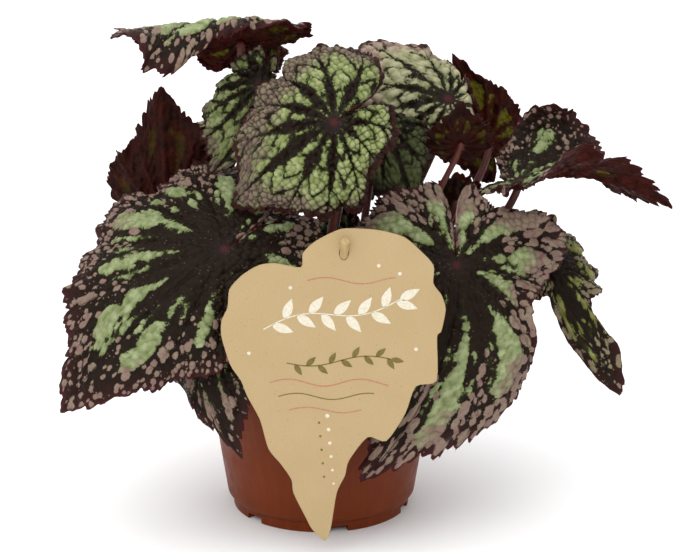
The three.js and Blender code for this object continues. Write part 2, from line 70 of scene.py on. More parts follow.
# Pot, soil and rhizome
POT_HEIGHT = 98
RIM_RADIUS = 62
RIM_DEPTH = 13
RIM_STEP = 1.8
SHOULDER_RADIUS = 59.6
FOOT_RADIUS = 44.5
FOOT_HEIGHT = 5
WALL_FOOT_RADIUS = 48
WALL_FOOT_HEIGHT = 11
WALL = 1.7
FLOOR = 2.4
NOTCH_COUNT = 6
NOTCH_WIDTH = 10
NOTCH_HEIGHT = 3
NOTCH_DEPTH = 12
NOTCH_TURN = 0.2
DRAIN_COUNT = 4
DRAIN_RADIUS = 3.5
DRAIN_CIRCLE = 24
DRAIN_DEPTH = 5
DRAIN_TURN = 0.4
POT_SIDES = 144
DRAIN_SIDES = 32
GAP = 0.35
SOIL_EDGE_HEIGHT = 85
SOIL_CROWN_HEIGHT = 89
SOIL_LUMP = 0.7
SOIL_SPACING = 0.9
CRUMB_COUNT = 900
CRUMB_FIELD = 55.5
FIBRE_COUNT = 260
FIBRE_FIELD = 54
FIBRE_RADIUS = 0.16
RHIZOME_SIZE = (19, 6.5, 5.5)
RHIZOME_HEIGHT = 88.5
RHIZOME_BOW = 3

# Label
CARD_THICKNESS = 0.9
CARD_PLANE = -76
CARD_FRONT = CARD_PLANE - CARD_THICKNESS / 2
CARD_EDGE = 0.12
STICK_RADIUS = 2
STICK_FOOT = (6, -20, 80)
STICK_EYE = (11.5, CARD_PLANE, 156)
STICK_PAST_EYE = 10
STICK_END = 0.5
STICK_SIDES = 32
INK = 0.05
INK_LIFT = 0.02
CARD_OUTLINE = [
    (10, 168), (22, 168), (30, 167), (40, 164), (47, 158), (54, 150), (54, 141), (58, 135),
    (60, 128), (58, 117), (56, 114), (56, 92), (46, 89), (41, 75), (32, 61), (23, 63),
    (14, 51), (12, 43), (8, 34), (5, 15), (2, 9), (-4, 15), (-7, 21), (-13, 34), (-14, 41),
    (-19, 49), (-25, 57), (-29, 72), (-35, 84), (-38, 92), (-43, 100), (-47, 114),
    (-47, 122), (-44, 129), (-43, 138), (-37, 145), (-29, 150), (-21, 151), (-9, 149),
    (-8, 156), (-2, 162),
]

# Leaves: the same outline, veins and values as the solids
SHEET_THICKNESS = 0.5
SOLID_THICKNESS = 0.8
STALK_FOOT = 81
OUTLINE = np.array([
    (0, 1.0), (7, 0.9), (18, 0.765), (34, 0.685), (52, 0.655), (72, 0.625), (92, 0.6),
    (115, 0.575), (138, 0.55), (158, 0.51), (170, 0.43), (177, 0.25), (180, 0.1),
])
OUTLINE_START_SLOPE = -0.016
OUTLINE_END_SLOPE = -0.03
VEIN_ANGLES = np.array([0, 27, 54, 84, 118, 152, 180])
VEIN_SWEEP = 14
LOBE_ANGLES = np.array([-180, -150, -105, -65, -30, 0, 30, 65, 105, 150, 180])
HALF_WIDTH = 0.6
BEND_STEPS = 14

# Pleats between the veins, on a leaf of full size. Smaller leaves have lower pleats and waves.
PLEAT = 1.6
FULL_SIZE = 110

# Where the mesh of a leaf begins, as a share of the way from the junction to the margin
FIRST_SHARE = 0.004

# Teeth round the margin: how far apart and how high they are, and whether they are pointed
TEETH = ((7.0, 1.3, False), (2.9, 1.6, False), (1.5, 0.4, True))

# Hairs on the margin and on the stalks, and the stalks' mesh
MARGIN_HAIRS = 420
MARGIN_HAIR_RADIUS = 0.07
STALK_HAIRS_PER_MM = 3.2
STALK_HAIR_RADIUS = 0.06
STALK_STEPS = 44
STALK_SIDES = 16

# Places at which a mauve spot may lie, tried in turn until the leaf has enough of them
SPOT_TRIES = 9000

# How far inside a marking a place lies that is nowhere near one
FAR_OUTSIDE = -9.0

# Skins of the upper face: green, its pale parts, the mauve, how dark the painted shade in the
# creases between the domes is on green and on mauve, and how dark the side veins are
SKINS = {
    "spotted": ((124, 136, 88), (164, 174, 130), (136, 106, 100), 0.1, 0.2, 0),
    "puckered": ((126, 138, 80), (166, 174, 122), (120, 98, 90), 0.35, 0.6, 0.85),
    "olive": ((108, 108, 42), (156, 154, 94), (136, 122, 100), 0.1, 0.2, 0),
    # painted shade: a darker copy of the puckered skin, with darker creases, for a leaf in the
    # shadow of others
    "puckered_painted_shade": ((84, 94, 52), (114, 120, 80), (80, 64, 58), 0.5, 0.8, 0.85),
    "pale": ((158, 158, 118), (184, 180, 146), (162, 134, 122), 0.15, 0.3, 0.5),
}

# What a leaf has unless its own entry says otherwise. The values of the solids:
#   junction, root        where the stalk ends in the blade and where it stands in the soil
#   heading, pitch, roll  the midrib's way and rise, and how far the blade leans to one side
#   length, wide          size, and width as a share of a plain leaf's
#   skew, lobes           how much further the left half reaches, and the margin at eight angles
#   droop, curl           how far the left and the right half bend down, evenly and at the edge
#   arch, base            how far the tip and the back of the blade bend down
#   twist, sway           how far the tip turns about the midrib and bends to the left
#   wave, waves           height and number of the waves round the margin
#   stalk, lean           the stalk's radius, and how slanted it meets the blade
#   rise, reach           how long the stalk's foot and its upper end keep their direction
# The values of the looks:
#   style       spotted: apart strokes of green with mauve spots between them and the margin
#               puckered: green all over but for the dark veins, with a mauve border
#   skin        the upper face's skin, where it isn't the one named like the style
#   spacing     distance between neighbouring points of the mesh
#   frill       how far the margin stands up and down in small folds
#   bump        width of the domes between the veins
#   mauve       where on the way to the margin green turns to mauve, the angle of the side on
#               which the mauve is widest, and how much wider it is there
#   bands       how wide the dark bands along a puckered leaf's veins are, and where on the way
#               to the margin they have narrowed to a line
#   shade       how much darker than its materials the leaf is: painted shade on leaves in the
# shadow of others, and partly the leaf's own darker tone
#   streaks     how strongly painted light through the leaf shows as yellow-green streaks below
#   stroke      how wide a spotted leaf's green strokes are, and where on the way to the margin
#               they begin and end
#   spot_size   how large the mauve spots are
PLAIN_LEAF = dict(
    heading=0, pitch=0, roll=0, length=100, wide=1, skew=0, lobes=(1,) * 8,
    droop=(60, 60), curl=(0, 0), arch=60, base=40, twist=0, sway=0, wave=3, waves=11,
    stalk=2.2, lean=0.6, rise=50, reach=22,
    style="spotted", skin="", spacing=0.85, frill=2.1, bump=3.4, mauve=(0.8, 0, 0),
    bands=(1, 0.85), shade=0, streaks=1, stroke=(1, 0.3, 0.79), spot_size=1,
)

LEAVES = {
    "front_left": dict(
        junction=(-46, -50, 150), heading=209, pitch=-28, roll=-40, root=(-16, -17), length=115,
        wide=0.97, skew=-0.1, lobes=(0.9, 0.85, 0.97, 1, 0.95, 0.78, 0.85, 0.92), droop=(80, 45),
        arch=45, base=30, waves=9, stalk=2.6, rise=45, reach=30, spacing=0.75,
        stroke=(0.8, 0.3, 0.79),
    ),
    "centre": dict(
        junction=(7, -45, 212), heading=197, pitch=-27, roll=-50, root=(0, -16), length=70,
        wide=1.1, lobes=(1.15, 1.25, 1.0, 1, 1, 0.95, 0.65, 0.8), droop=(55, 45), arch=55,
        base=20, rise=70, reach=25, style="puckered", spacing=0.62, bump=3,
        mauve=(0.6, -55, 0.22), bands=(1.45, 0.85),
    ),
    "top_left": dict(
        junction=(-39.5, 13, 237.5), heading=186, pitch=19, roll=70, root=(-24, 4), length=73,
        wide=0.75, lobes=(0.82, 0.48, 0.64, 1.1, 1.5, 0.95, 0.85, 0.95), droop=(50, 20),
        curl=(90, 0), arch=52, base=-50, twist=-75, lean=0.9, rise=80, reach=4, spacing=0.75,
        stroke=(1.6, 0.3, 0.79), spot_size=1.4,
    ),
    "left_upright": dict(
        junction=(-77, 13.5, 147.5), heading=262, pitch=84, root=(-36, -4), length=70, wide=0.88,
        lobes=(0.6, 0.8, 0.95, 0.88, 1, 1.1, 0.9, 0.6), droop=(-25, -40), arch=5, base=10,
        lean=0.8, rise=35, frill=3.2, shade=0.35, streaks=0.25,
    ),
    # painted shade: this leaf lies in the shadow of the leaf above it, which its shade value
    # paints on
    "mid_left": dict(
        junction=(-29, -1, 219), heading=250, pitch=-58, roll=-26, root=(-6, 14), length=49,
        wide=1.1, sway=-0.3, lobes=(0.65, 0.6, 1.03, 1, 0.7, 0.3, 0.3, 0.3), droop=(40, 90),
        arch=35, base=-30, rise=80, style="puckered", spacing=0.7, frill=1.2, mauve=(0.88, 0, 0),
        bands=(1.9, 1.2), shade=0.2,
    ),
    "top_centre": dict(
        junction=(63.5, 20, 206), heading=150, pitch=35, roll=-28, root=(20, 12), length=58,
        wide=1.15, lobes=(0.4, 0.35, 0.5, 0.8, 1.15, 1.15, 0.85, 0.7), droop=(50, 50), arch=30,
        base=70, stalk=2, rise=70, reach=20, style="puckered", skin="pale", spacing=0.75, bump=5,
        mauve=(0.72, 60, 0.12), bands=(1.1, 0.85),
    ),
    # painted shade: this leaf lies in the shadow of others, which its darker skin and shade value
    # paint on
    "mid_right": dict(
        junction=(33, 2, 197.5), heading=308, pitch=-58, roll=25, root=(12, -11), length=45,
        lobes=(0.3, 0.45, 1, 1, 0.9, 0.75, 0.4, 0.3), droop=(30, 40), arch=20, base=70, stalk=2,
        rise=70, reach=20, style="puckered", skin="puckered_painted_shade", spacing=0.75, mauve=(0.92, 0, 0),
        bands=(1.7, 1.2), shade=0.42,
    ),
    "right_upright": dict(
        junction=(85, 53, 176.5), heading=205, pitch=68, roll=62, root=(33, 11), length=50,
        wide=0.68, droop=(-20, -20), arch=10, base=10, stalk=2, lean=0.8, reach=20, frill=3.2,
        streaks=1.3, stroke=(1.5, 0.15, 0.79),
    ),
    "far_right": dict(
        junction=(98, 0, 170), heading=-6, pitch=16, root=(35, -8), length=77, wide=1.1,
        sway=-0.08, lobes=(0.3, 0.4, 1.18, 0.97, 1.0, 1.1, 0.55, 0.2), droop=(-80, -10),
        curl=(-40, 0), arch=48, base=30, twist=-60, rise=45, reach=30, spacing=0.75, streaks=1.3,
        stroke=(0.85, 0.1, 0.65), spot_size=0.75,
    ),
    "front_right": dict(
        junction=(66.5, -36, 137.5), heading=275, pitch=-58, root=(22, -20), length=105,
        sway=-0.45, lobes=(0.84, 0.96, 0.6, 0.8, 1.3, 0.62, 0.98, 0.7), droop=(35, 30), arch=35,
        base=20, wave=4, waves=7, stalk=2.6, rise=45, reach=30, spacing=0.75,
        mauve=(0.62, 120, 0.15), stroke=(1.3, 0.22, 0.86), spot_size=1.6,
    ),
    "low_right": dict(
        junction=(114, 5, 126), heading=-46, pitch=-50, roll=20, root=(38, 3), length=76,
        wide=0.92, sway=0.13, lobes=(0.7, 0.65, 0.5, 0.36, 0.58, 0.8, 0.8, 0.7), droop=(80, 95),
        arch=30, rise=35, reach=35, skin="olive", stroke=(0.7, 0.3, 0.79),
    ),
    "young_right": dict(
        junction=(67, 10, 157), heading=275, pitch=60, root=(28, 4), length=21, wide=1.1,
        droop=(-30, -30), arch=10, base=20, stalk=1.6, rise=40, reach=14, frill=1,
    ),
    "curled_right": dict(
        junction=(68.6, -7, 190.8), heading=280, pitch=78, root=(25, -4), length=21, wide=1.3,
        droop=(-20, -20), arch=-20, base=10, stalk=1.6, lean=0.8, rise=70, reach=5, shade=0.45,
    ),
    "low_left": dict(
        junction=(-51, -53, 102), heading=245, pitch=-62, root=(-28, -25), length=52, sway=0.4,
        lobes=(0.7, 1, 1, 1, 0.9, 0.8, 0.6, 0.45), droop=(30, 50), arch=20, stalk=1.8, rise=22,
        reach=25, frill=1, mauve=(0.5, 0, 0), stroke=(0.6, 0.3, 0.79),
    ),
    "left_behind": dict(
        junction=(-69, 35, 181), heading=180, pitch=-30, roll=-20, root=(-33, 8), length=38,
        sway=0.2, droop=(50, 50), arch=20, stalk=1.8, reach=20,
    ),
    "back_left": dict(
        junction=(-40, 52, 136), heading=138, pitch=-20, root=(-16, 24), length=68,
        lobes=(1, 1, 1, 1, 1, 1, 0.8, 0.7), arch=55, rise=35, reach=28, spacing=1,
    ),
    "back_centre": dict(
        junction=(12, 54, 168), heading=88, pitch=-18, root=(2, 22), length=72,
        lobes=(1.1, 1, 1, 1, 1, 1, 1, 1.1), base=70, reach=28, style="puckered", spacing=1,
    ),
    "back_right": dict(
        junction=(60, 57, 131), heading=42, pitch=-22, root=(17, 26), length=68,
        lobes=(0.8, 1, 1, 1, 1, 1, 1, 1.15), arch=55, rise=35, reach=28, spacing=1, frill=1.2,
    ),
    "back_low_left": dict(
        junction=(-68, 24, 110), heading=165, pitch=-35, root=(-29, 20), length=52,
        lobes=(0.6, 0.8, 1, 1, 1, 1, 0.8, 0.6), droop=(25, 60), arch=35, stalk=1.8, rise=24,
        reach=20,
    ),
    "back_low_right": dict(
        junction=(7, 60, 119), heading=90, pitch=20, root=(6, 36), length=36, wide=1.1, arch=5,
        stalk=1.8, rise=24, reach=20, frill=1,
    ),
}


# Numbers: smooth steps, repeatable noise and cells


def smooth(start, end, value):
    t = np.clip((value - start) / (end - start), 0, 1)
    return t * t * (3 - 2 * t)


def lattice(column, row, seed):
    """A repeatable random number from 0 to 1 for every point of a grid."""
    mixed = (column * 374761393 + row * 668265263 + seed * 97463477) & 0xFFFFFFFF
    mixed = ((mixed ^ (mixed >> 13)) * 1274126177) & 0xFFFFFFFF
    return ((mixed ^ (mixed >> 16)) & 0xFFFF) / 65535


def noise(x, y, seed):
    """Soft noise from -1 to 1 whose features are about one unit wide."""
    column, row = np.floor(x).astype(np.int64), np.floor(y).astype(np.int64)
    u, v = smooth(0, 1, x - column), smooth(0, 1, y - row)
    low = lattice(column, row, seed) * (1 - u) + lattice(column + 1, row, seed) * u
    high = lattice(column, row + 1, seed) * (1 - u) + lattice(column + 1, row + 1, seed) * u
    return 2 * (low * (1 - v) + high * v) - 1


def cells(x, y, seed):
    """Splits the plane into cells: how far each place is from its cell's border (0 on it)
    and from its cell's middle, and the cell's own random number."""
    column, row = np.floor(x).astype(np.int64), np.floor(y).astype(np.int64)
    nearest = np.full(x.shape, 9.0)
    second = np.full(x.shape, 9.0)
    own = np.zeros(x.shape)
    for across in (-1, 0, 1):
        for up in (-1, 0, 1):
            c, r = column + across, row + up
            away = np.hypot(
                x - c - 0.15 - 0.7 * lattice(c, r, seed),
                y - r - 0.15 - 0.7 * lattice(c, r, seed + 1),
            )
            closer = away < nearest
            second = np.where(closer, nearest, np.minimum(second, away))
            own = np.where(closer, lattice(c, r, seed + 2), own)
            nearest = np.where(closer, away, nearest)
    return second - nearest, nearest, own


def hermite(t, span, start, end, start_slope, end_slope):
    """A smooth curve from start to end, t running from 0 to 1. The span is the curve's width,
    which its two slopes refer to."""
    return (
        (2 * t**3 - 3 * t**2 + 1) * start + (t**3 - 2 * t**2 + t) * span * start_slope
        + (3 * t**2 - 2 * t**3) * end + (t**3 - t**2) * span * end_slope
    )


def unit(vectors):
    """The same directions, each one unit long."""
    return vectors / np.maximum(np.linalg.norm(vectors, axis=-1, keepdims=True), 1e-12)


# Leaf form: the formula of the solids, for whole arrays of places


def outline_reach(angle):
    """Reach of a plain leaf's margin, as a share of the leaf's length."""
    a = np.abs(np.degrees(angle))
    keys, values = OUTLINE[:, 0], OUTLINE[:, 1]
    slopes = np.empty(len(keys))
    slopes[0], slopes[-1] = OUTLINE_START_SLOPE, OUTLINE_END_SLOPE
    slopes[1:-1] = (values[2:] - values[:-2]) / (keys[2:] - keys[:-2])
    i = np.clip(np.searchsorted(keys, a, side="left") - 1, 0, len(keys) - 2)
    span = keys[i + 1] - keys[i]
    t = np.clip((a - keys[i]) / span, 0, 1)
    return hermite(t, span, values[i], values[i + 1], slopes[i], slopes[i + 1])


def lobe_factor(leaf, angle):
    """How much further than on a plain leaf the margin reaches."""
    factors = np.array([1, *leaf["lobes"][:4], 1, *leaf["lobes"][4:], 1])
    a = np.degrees(angle)
    i = np.clip(np.searchsorted(LOBE_ANGLES, a, side="left") - 1, 0, len(LOBE_ANGLES) - 2)
    t = smooth(LOBE_ANGLES[i], LOBE_ANGLES[i + 1], a)
    return factors[i] * (1 - t) + factors[i + 1] * t


def vein_place(angle, s):
    """The sector between two main veins that a place lies in, how far across it the place
    is (0 to 1), and the sector's width in radians."""
    a = np.abs(np.degrees(angle))
    a = a + VEIN_SWEEP * s * s * np.sin(np.radians(a))
    i = np.clip(np.searchsorted(VEIN_ANGLES, a, side="left") - 1, 0, len(VEIN_ANGLES) - 2)
    width = VEIN_ANGLES[i + 1] - VEIN_ANGLES[i]
    across = np.clip((a - VEIN_ANGLES[i]) / width, 0, 1)
    return i, across, np.radians(width)


def bend(slope, length):
    """How far forward and down a strip reaches whose slope changes along its length."""
    forward = np.zeros_like(length)
    down = np.zeros_like(length)
    for i in range(BEND_STEPS):
        angle = slope((i + 0.5) / BEND_STEPS * length)
        forward += np.cos(angle) * length / BEND_STEPS
        down += np.sin(angle) * length / BEND_STEPS
    return forward, down


def blade_reach(leaf, s, angle, tooth):
    """Distance from the junction to the margin, on the flat blade."""
    _, across, _ = vein_place(angle, s)
    vein = 1 - np.abs(2 * across - 1)
    reach = outline_reach(angle) * leaf["length"] * (1 + leaf["skew"] * np.sin(angle))
    reach = reach * lobe_factor(leaf, angle)
    return reach * (1 + 0.05 * (0.5 - vein) * smooth(0.5, 1, s)) * (1 + tooth)


def blade_shape(leaf, s, angle, tooth):
    """Places on the blade's middle surface, lying along its own x axis."""
    size = leaf["length"]
    half_width = size * HALF_WIDTH * leaf["wide"]
    _, across, _ = vein_place(angle, s)
    vein = 1 - np.abs(2 * across - 1)
    reach = blade_reach(leaf, s, angle, tooth)
    x = reach * s * np.cos(angle) / size
    y = reach * s * np.sin(angle) * leaf["wide"]
    side = np.where(y >= 0, 1, -1)
    droop = np.radians(np.where(side > 0, *leaf["droop"]))
    curl = np.radians(np.where(side > 0, *leaf["curl"]))

    def sideways(u):
        return droop * u + curl * u**3

    u = np.abs(y) / half_width
    out, drop = bend(sideways, u)
    out, drop = out * half_width, drop * half_width
    phi = sideways(u)
    ahead = np.where(x >= 0, 1, -1)
    along_rate = np.radians(np.where(x >= 0, leaf["arch"], leaf["base"] * 2))

    def lengthways(v):
        return along_rate * v

    forward, down = bend(lengthways, np.abs(x))
    psi = lengthways(np.abs(x))

    twist = math.radians(leaf["twist"]) * np.maximum(x, 0)
    zero = np.zeros_like(x)
    normal = np.stack([ahead * np.sin(psi), zero, np.cos(psi)], 1)
    left = np.array([0.0, 1.0, 0.0])
    cos_twist, sin_twist = np.cos(twist)[:, None], np.sin(twist)[:, None]
    turned_left = left * cos_twist + normal * sin_twist
    turned_up = normal * cos_twist - left * sin_twist
    facing = turned_up * np.cos(phi)[:, None] + turned_left * (side * np.sin(phi))[:, None]

    radial = reach * s / size
    pleat = PLEAT * size / FULL_SIZE * (vein**0.7 - 0.5)
    pleat = pleat * smooth(0.06, 0.3, radial) * (1 - 0.5 * smooth(0.8, 1, s))
    wave = leaf["wave"] * size / FULL_SIZE * np.sin(leaf["waves"] * angle)
    wave = wave * smooth(0.62, 1, s) ** 1.5
    wave = wave * (1 - smooth(math.radians(150), math.radians(175), np.abs(angle)))

    swayed = leaf["sway"] * size * np.maximum(x, 0) ** 2
    place = np.stack([ahead * forward * size, swayed, -down * size], 1)
    place += turned_left * (side * out)[:, None] - turned_up * drop[:, None]
    return place + facing * (pleat + wave)[:, None]


def blade_axes(leaf):
    """The blade's own axes in the pot's frame: along the midrib, to the left, and up."""
    h, p, r = (math.radians(leaf[key]) for key in ("heading", "pitch", "roll"))
    along = np.array([math.cos(h) * math.cos(p), math.sin(h) * math.cos(p), math.sin(p)])
    level = np.array([-math.sin(h), math.cos(h), 0])
    square = np.cross(along, level)
    left = level * math.cos(r) + square * math.sin(r)
    up = square * math.cos(r) - level * math.sin(r)
    return along, left, up


# Meshes


def add_object(name, data):
    thing = bpy.data.objects.new(name, data)
    bpy.context.scene.collection.objects.link(thing)
    return thing


def shaped_object(name, body, material=None):
    """An object from an edited mesh."""
    mesh = bpy.data.meshes.new(name)
    body.to_mesh(mesh)
    body.free()
    if material:
        mesh.materials.append(material)
    return add_object(name, mesh)


def triangle_mesh(name, points, triangles, materials, faces_of=None, fields=None):
    """A smooth mesh object from arrays of points in millimetres and triangles. faces_of
    gives each triangle's material, and fields the values that materials read by name."""
    mesh = bpy.data.meshes.new(name)
    count = len(triangles)
    mesh.vertices.add(len(points))
    mesh.vertices.foreach_set("co", (np.asarray(points, dtype=np.float64) * MM).ravel())
    mesh.loops.add(3 * count)
    mesh.loops.foreach_set("vertex_index", np.asarray(triangles, dtype=np.int32).ravel())
    mesh.polygons.add(count)
    mesh.polygons.foreach_set("loop_start", np.arange(0, 3 * count, 3, dtype=np.int32))
    mesh.update(calc_edges=True)
    mesh.polygons.foreach_set("use_smooth", np.ones(count, dtype=bool))
    if faces_of is not None:
        mesh.polygons.foreach_set("material_index", np.asarray(faces_of, dtype=np.int32))
    for key, values in (fields or {}).items():
        kind = "FLOAT_VECTOR" if values.ndim == 2 else "FLOAT"
        attribute = mesh.attributes.new(key, kind, "POINT")
        attribute.data.foreach_set(
            "vector" if values.ndim == 2 else "value", values.astype(np.float32).ravel()
        )
    for material in materials:
        mesh.materials.append(material)
    mesh.validate()
    return add_object(name, mesh)


def vertex_normals(points, triangles):
    """The direction that the surface faces at each point."""
    corners = points[triangles]
    face = np.cross(corners[:, 1] - corners[:, 0], corners[:, 2] - corners[:, 0])
    normals = np.zeros_like(points)
    for k in range(3):
        for axis in range(3):
            normals[:, axis] += np.bincount(
                triangles[:, k], weights=face[:, axis], minlength=len(points)
            )
    return unit(normals)


def spikes(bases, directions, lengths, radius):
    """Hairs: one slim four-sided body for each base, tapering to a point."""
    directions = unit(directions)
    helper = np.where(np.abs(directions[:, 2:3]) < 0.9, [[0.0, 0.0, 1.0]], [[1.0, 0.0, 0.0]])
    u = unit(np.cross(directions, helper))
    v = np.cross(directions, u)
    corners = [
        bases + radius * (math.cos(a) * u + math.sin(a) * v) for a in (0, 2.094, 4.189)
    ]
    tips = bases + directions * lengths[:, None]
    points = np.stack([*corners, tips], 1).reshape(-1, 3)
    start = 4 * np.arange(len(bases))[:, None, None]
    triangles = start + np.array([[0, 2, 1], [0, 1, 3], [1, 2, 3], [2, 0, 3]])
    return points, triangles.reshape(-1, 3)


def join(parts):
    """One set of points, triangles and material numbers from several (points, triangles,
    material number)."""
    points, triangles, owners = [], [], []
    start = 0
    for part_points, part_triangles, owner in parts:
        points.append(part_points)
        triangles.append(part_triangles + start)
        owners.append(np.full(len(part_triangles), owner))
        start += len(part_points)
    return np.concatenate(points), np.concatenate(triangles), np.concatenate(owners)


def strip(low, high):
    """Triangles between two closed rows of points."""
    low_next, high_next = np.roll(low, -1), np.roll(high, -1)
    return [np.stack([low, low_next, high_next], 1), np.stack([low, high_next, high], 1)]


def ring_plan(reach, spacing):
    """Rings round the junction: share of the way out and number of points, each number
    equal to or twice the one inside it."""
    steps = int(round(reach / spacing))
    count = 12
    rings = []
    for k in range(1, steps + 1):
        if 2 * math.pi * k > 1.3 * count:
            count *= 2
        rings.append((k / steps, count))
    return rings


def ring_places(rings, first=0.0):
    """Share of the way out and share of a turn, for every point of a disc made of rings. The
    point in its middle has a share of its own."""
    s = np.concatenate([[first], *[np.full(n, share) for share, n in rings]])
    turn = np.concatenate([[0.0], *[np.arange(n) / n for _, n in rings]])
    return s, turn


def ring_triangles(rings):
    """Triangles of a disc made of such rings. Point 0 is the junction."""
    first = np.arange(rings[0][1])
    found = [np.stack([0 * first, 1 + first, 1 + (first + 1) % rings[0][1]], 1)]
    start = 1
    for (_, inside), (_, outside) in zip(rings, rings[1:]):
        i = np.arange(inside)
        a, b = start + i, start + (i + 1) % inside
        beyond = start + inside
        if outside == inside:
            c, d = beyond + i, beyond + (i + 1) % outside
            found += [np.stack([a, c, d], 1), np.stack([a, d, b], 1)]
        else:
            c, d, e = beyond + 2 * i, beyond + 2 * i + 1, beyond + (2 * i + 2) % outside
            found += [np.stack(t, 1) for t in ((a, c, d), (a, d, b), (b, d, e))]
        start = beyond
    return np.concatenate(found)


def tube_sides(rows, sides):
    """Triangles between the rows of points of a tube."""
    first = np.arange(sides)
    found = []
    for row in range(rows - 1):
        found += strip(first + row * sides, first + (row + 1) * sides)
    return found


def swept_tube(path, radii, sides, ridges=0.0):
    """A closed tube along a path, with one radius for each point of the path."""
    ways = unit(np.gradient(path, axis=0))
    u = np.cross(ways[0], [0.0, 1.0, 0.0] if abs(ways[0][1]) < 0.9 else [1.0, 0.0, 0.0])
    turns = 2 * math.pi * np.arange(sides) / sides
    shape = 1 + ridges * np.cos(3 * turns)
    rows = []
    for place, way, radius in zip(path, ways, radii):
        u = unit(u - way * (u @ way))
        ring = np.cos(turns)[:, None] * u + np.sin(turns)[:, None] * np.cross(way, u)
        rows.append(place + radius * shape[:, None] * ring)
    points = np.concatenate([*rows, path[:1], path[-1:]])
    i = np.arange(sides)
    j = (i + 1) % sides
    top, start = (len(path) - 1) * sides, len(path) * sides
    found = tube_sides(len(path), sides)
    found.append(np.stack([0 * i + start, j, i], 1))
    found.append(np.stack([0 * i + start + 1, top + i, top + j], 1))
    return points, np.concatenate(found)


def turned_mesh(name, profile, sides, material):
    """A body turned about the z axis. The profile runs from axis to axis."""
    points, rows = [], []
    for radius, z in profile:
        if radius == 0:
            rows.append([len(points)] * sides)
            points.append((0, 0, z))
            continue
        rows.append(list(range(len(points), len(points) + sides)))
        for i in range(sides):
            angle = 2 * math.pi * i / sides
            points.append((radius * math.cos(angle), radius * math.sin(angle), z))
    triangles = []
    for low, high in zip(rows, rows[1:]):
        for i in range(sides):
            j = (i + 1) % sides
            if low[i] != low[j]:
                triangles.append((low[i], low[j], high[j]))
            if high[i] != high[j]:
                triangles.append((low[i], high[j], high[i]))
    return triangle_mesh(name, np.array(points, dtype=float), np.array(triangles), [material])


def cut_out(piece, cutters):
    """Subtracts the cutters from the piece and removes them."""
    for cutter in cutters:
        modifier = piece.modifiers.new("cut", "BOOLEAN")
        modifier.operation = "DIFFERENCE"
        modifier.solver = "EXACT"
        modifier.object = cutter
    bpy.context.view_layer.update()
    shaped = bpy.data.meshes.new_from_object(
        piece.evaluated_get(bpy.context.evaluated_depsgraph_get())
    )
    piece.modifiers.clear()
    piece.data = shaped
    for cutter in cutters:
        bpy.data.objects.remove(cutter)


def box_object(size, centre, turn):
    """A box to cut with."""
    body = bmesh.new()
    bmesh.ops.create_cube(body, size=1)
    thing = shaped_object("cutter", body)
    thing.scale = [value * MM for value in size]
    thing.location = [value * MM for value in centre]
    thing.rotation_euler = (0, 0, turn)
    return thing


# Leaf relief and markings


def margin_teeth(leaf, angle, seed):
    """Share by which the margin stands out: round lobes of uneven size with fine teeth."""
    turns = angle / (2 * math.pi)
    flat = 0 * turns
    total = 0
    girth = 3.7 * leaf["length"]
    for pitch, height, pointed in TEETH:
        count = girth / pitch
        place = count * turns + 0.8 * noise(0.45 * count * turns + 90, flat, seed)
        saw = np.abs(2 * (place % 1) - 1) - 0.5
        lobe = np.abs(np.sin(np.pi * place)) - 0.6
        uneven = 1 + 0.95 * noise(0.7 * count * turns + 50, flat, seed + 5)
        total = total + height * uneven * (saw if pointed else lobe)
    return total / (HALF_WIDTH * leaf["length"]) * smooth(0, math.radians(3), np.abs(angle))


def strokes(leaf, rng, sector, across, s, arc):
    """Green strokes, up to three to a sector and some broken in two: how far inside one a
    place lies."""
    width, first, last = leaf["stroke"]
    inside = np.full(s.shape, FAR_OUTSIDE)
    count = 2 * (len(VEIN_ANGLES) - 1)
    for rank in range(3):
        middle = rng.uniform(0.42, 0.58, count)
        half = rng.uniform(0.24, 0.36, count) * width
        begin = first + rng.uniform(-0.1, 0.1, count)
        end = last + rng.uniform(-0.09, 0.09, count)
        if rank:
            middle = np.where(rng.random(count) < 0.5, rank * 0.12, 1 - rank * 0.12)
            half = rng.uniform(0.05, 0.1, count) * (rng.random(count) < 0.75)
            begin = rng.uniform(0.34, 0.56, count)
            end = begin + rng.uniform(0.14, 0.34, count)
        t = (s - begin[sector]) / (end - begin)[sector]
        body = np.clip(t, 0, 1)
        half_width = half[sector] * arc * body**0.7 * np.sqrt(np.clip(1 - body**5, 0, 1))
        broken = rng.uniform(0.3, 0.7, count)
        gap = np.where(rng.random(count) < 0.3, 3.0, 0.0)
        half_width -= gap[sector] * np.exp(-((t - broken[sector]) / 0.07) ** 2)
        beyond = np.maximum(t - 1, -t) * (end - begin)[sector] * leaf["length"] * HALF_WIDTH
        field = half_width - np.abs(across - middle[sector]) * arc - np.maximum(beyond, 0)
        inside = np.maximum(inside, np.where(half[sector] > 0, field, FAR_OUTSIDE))
    return inside


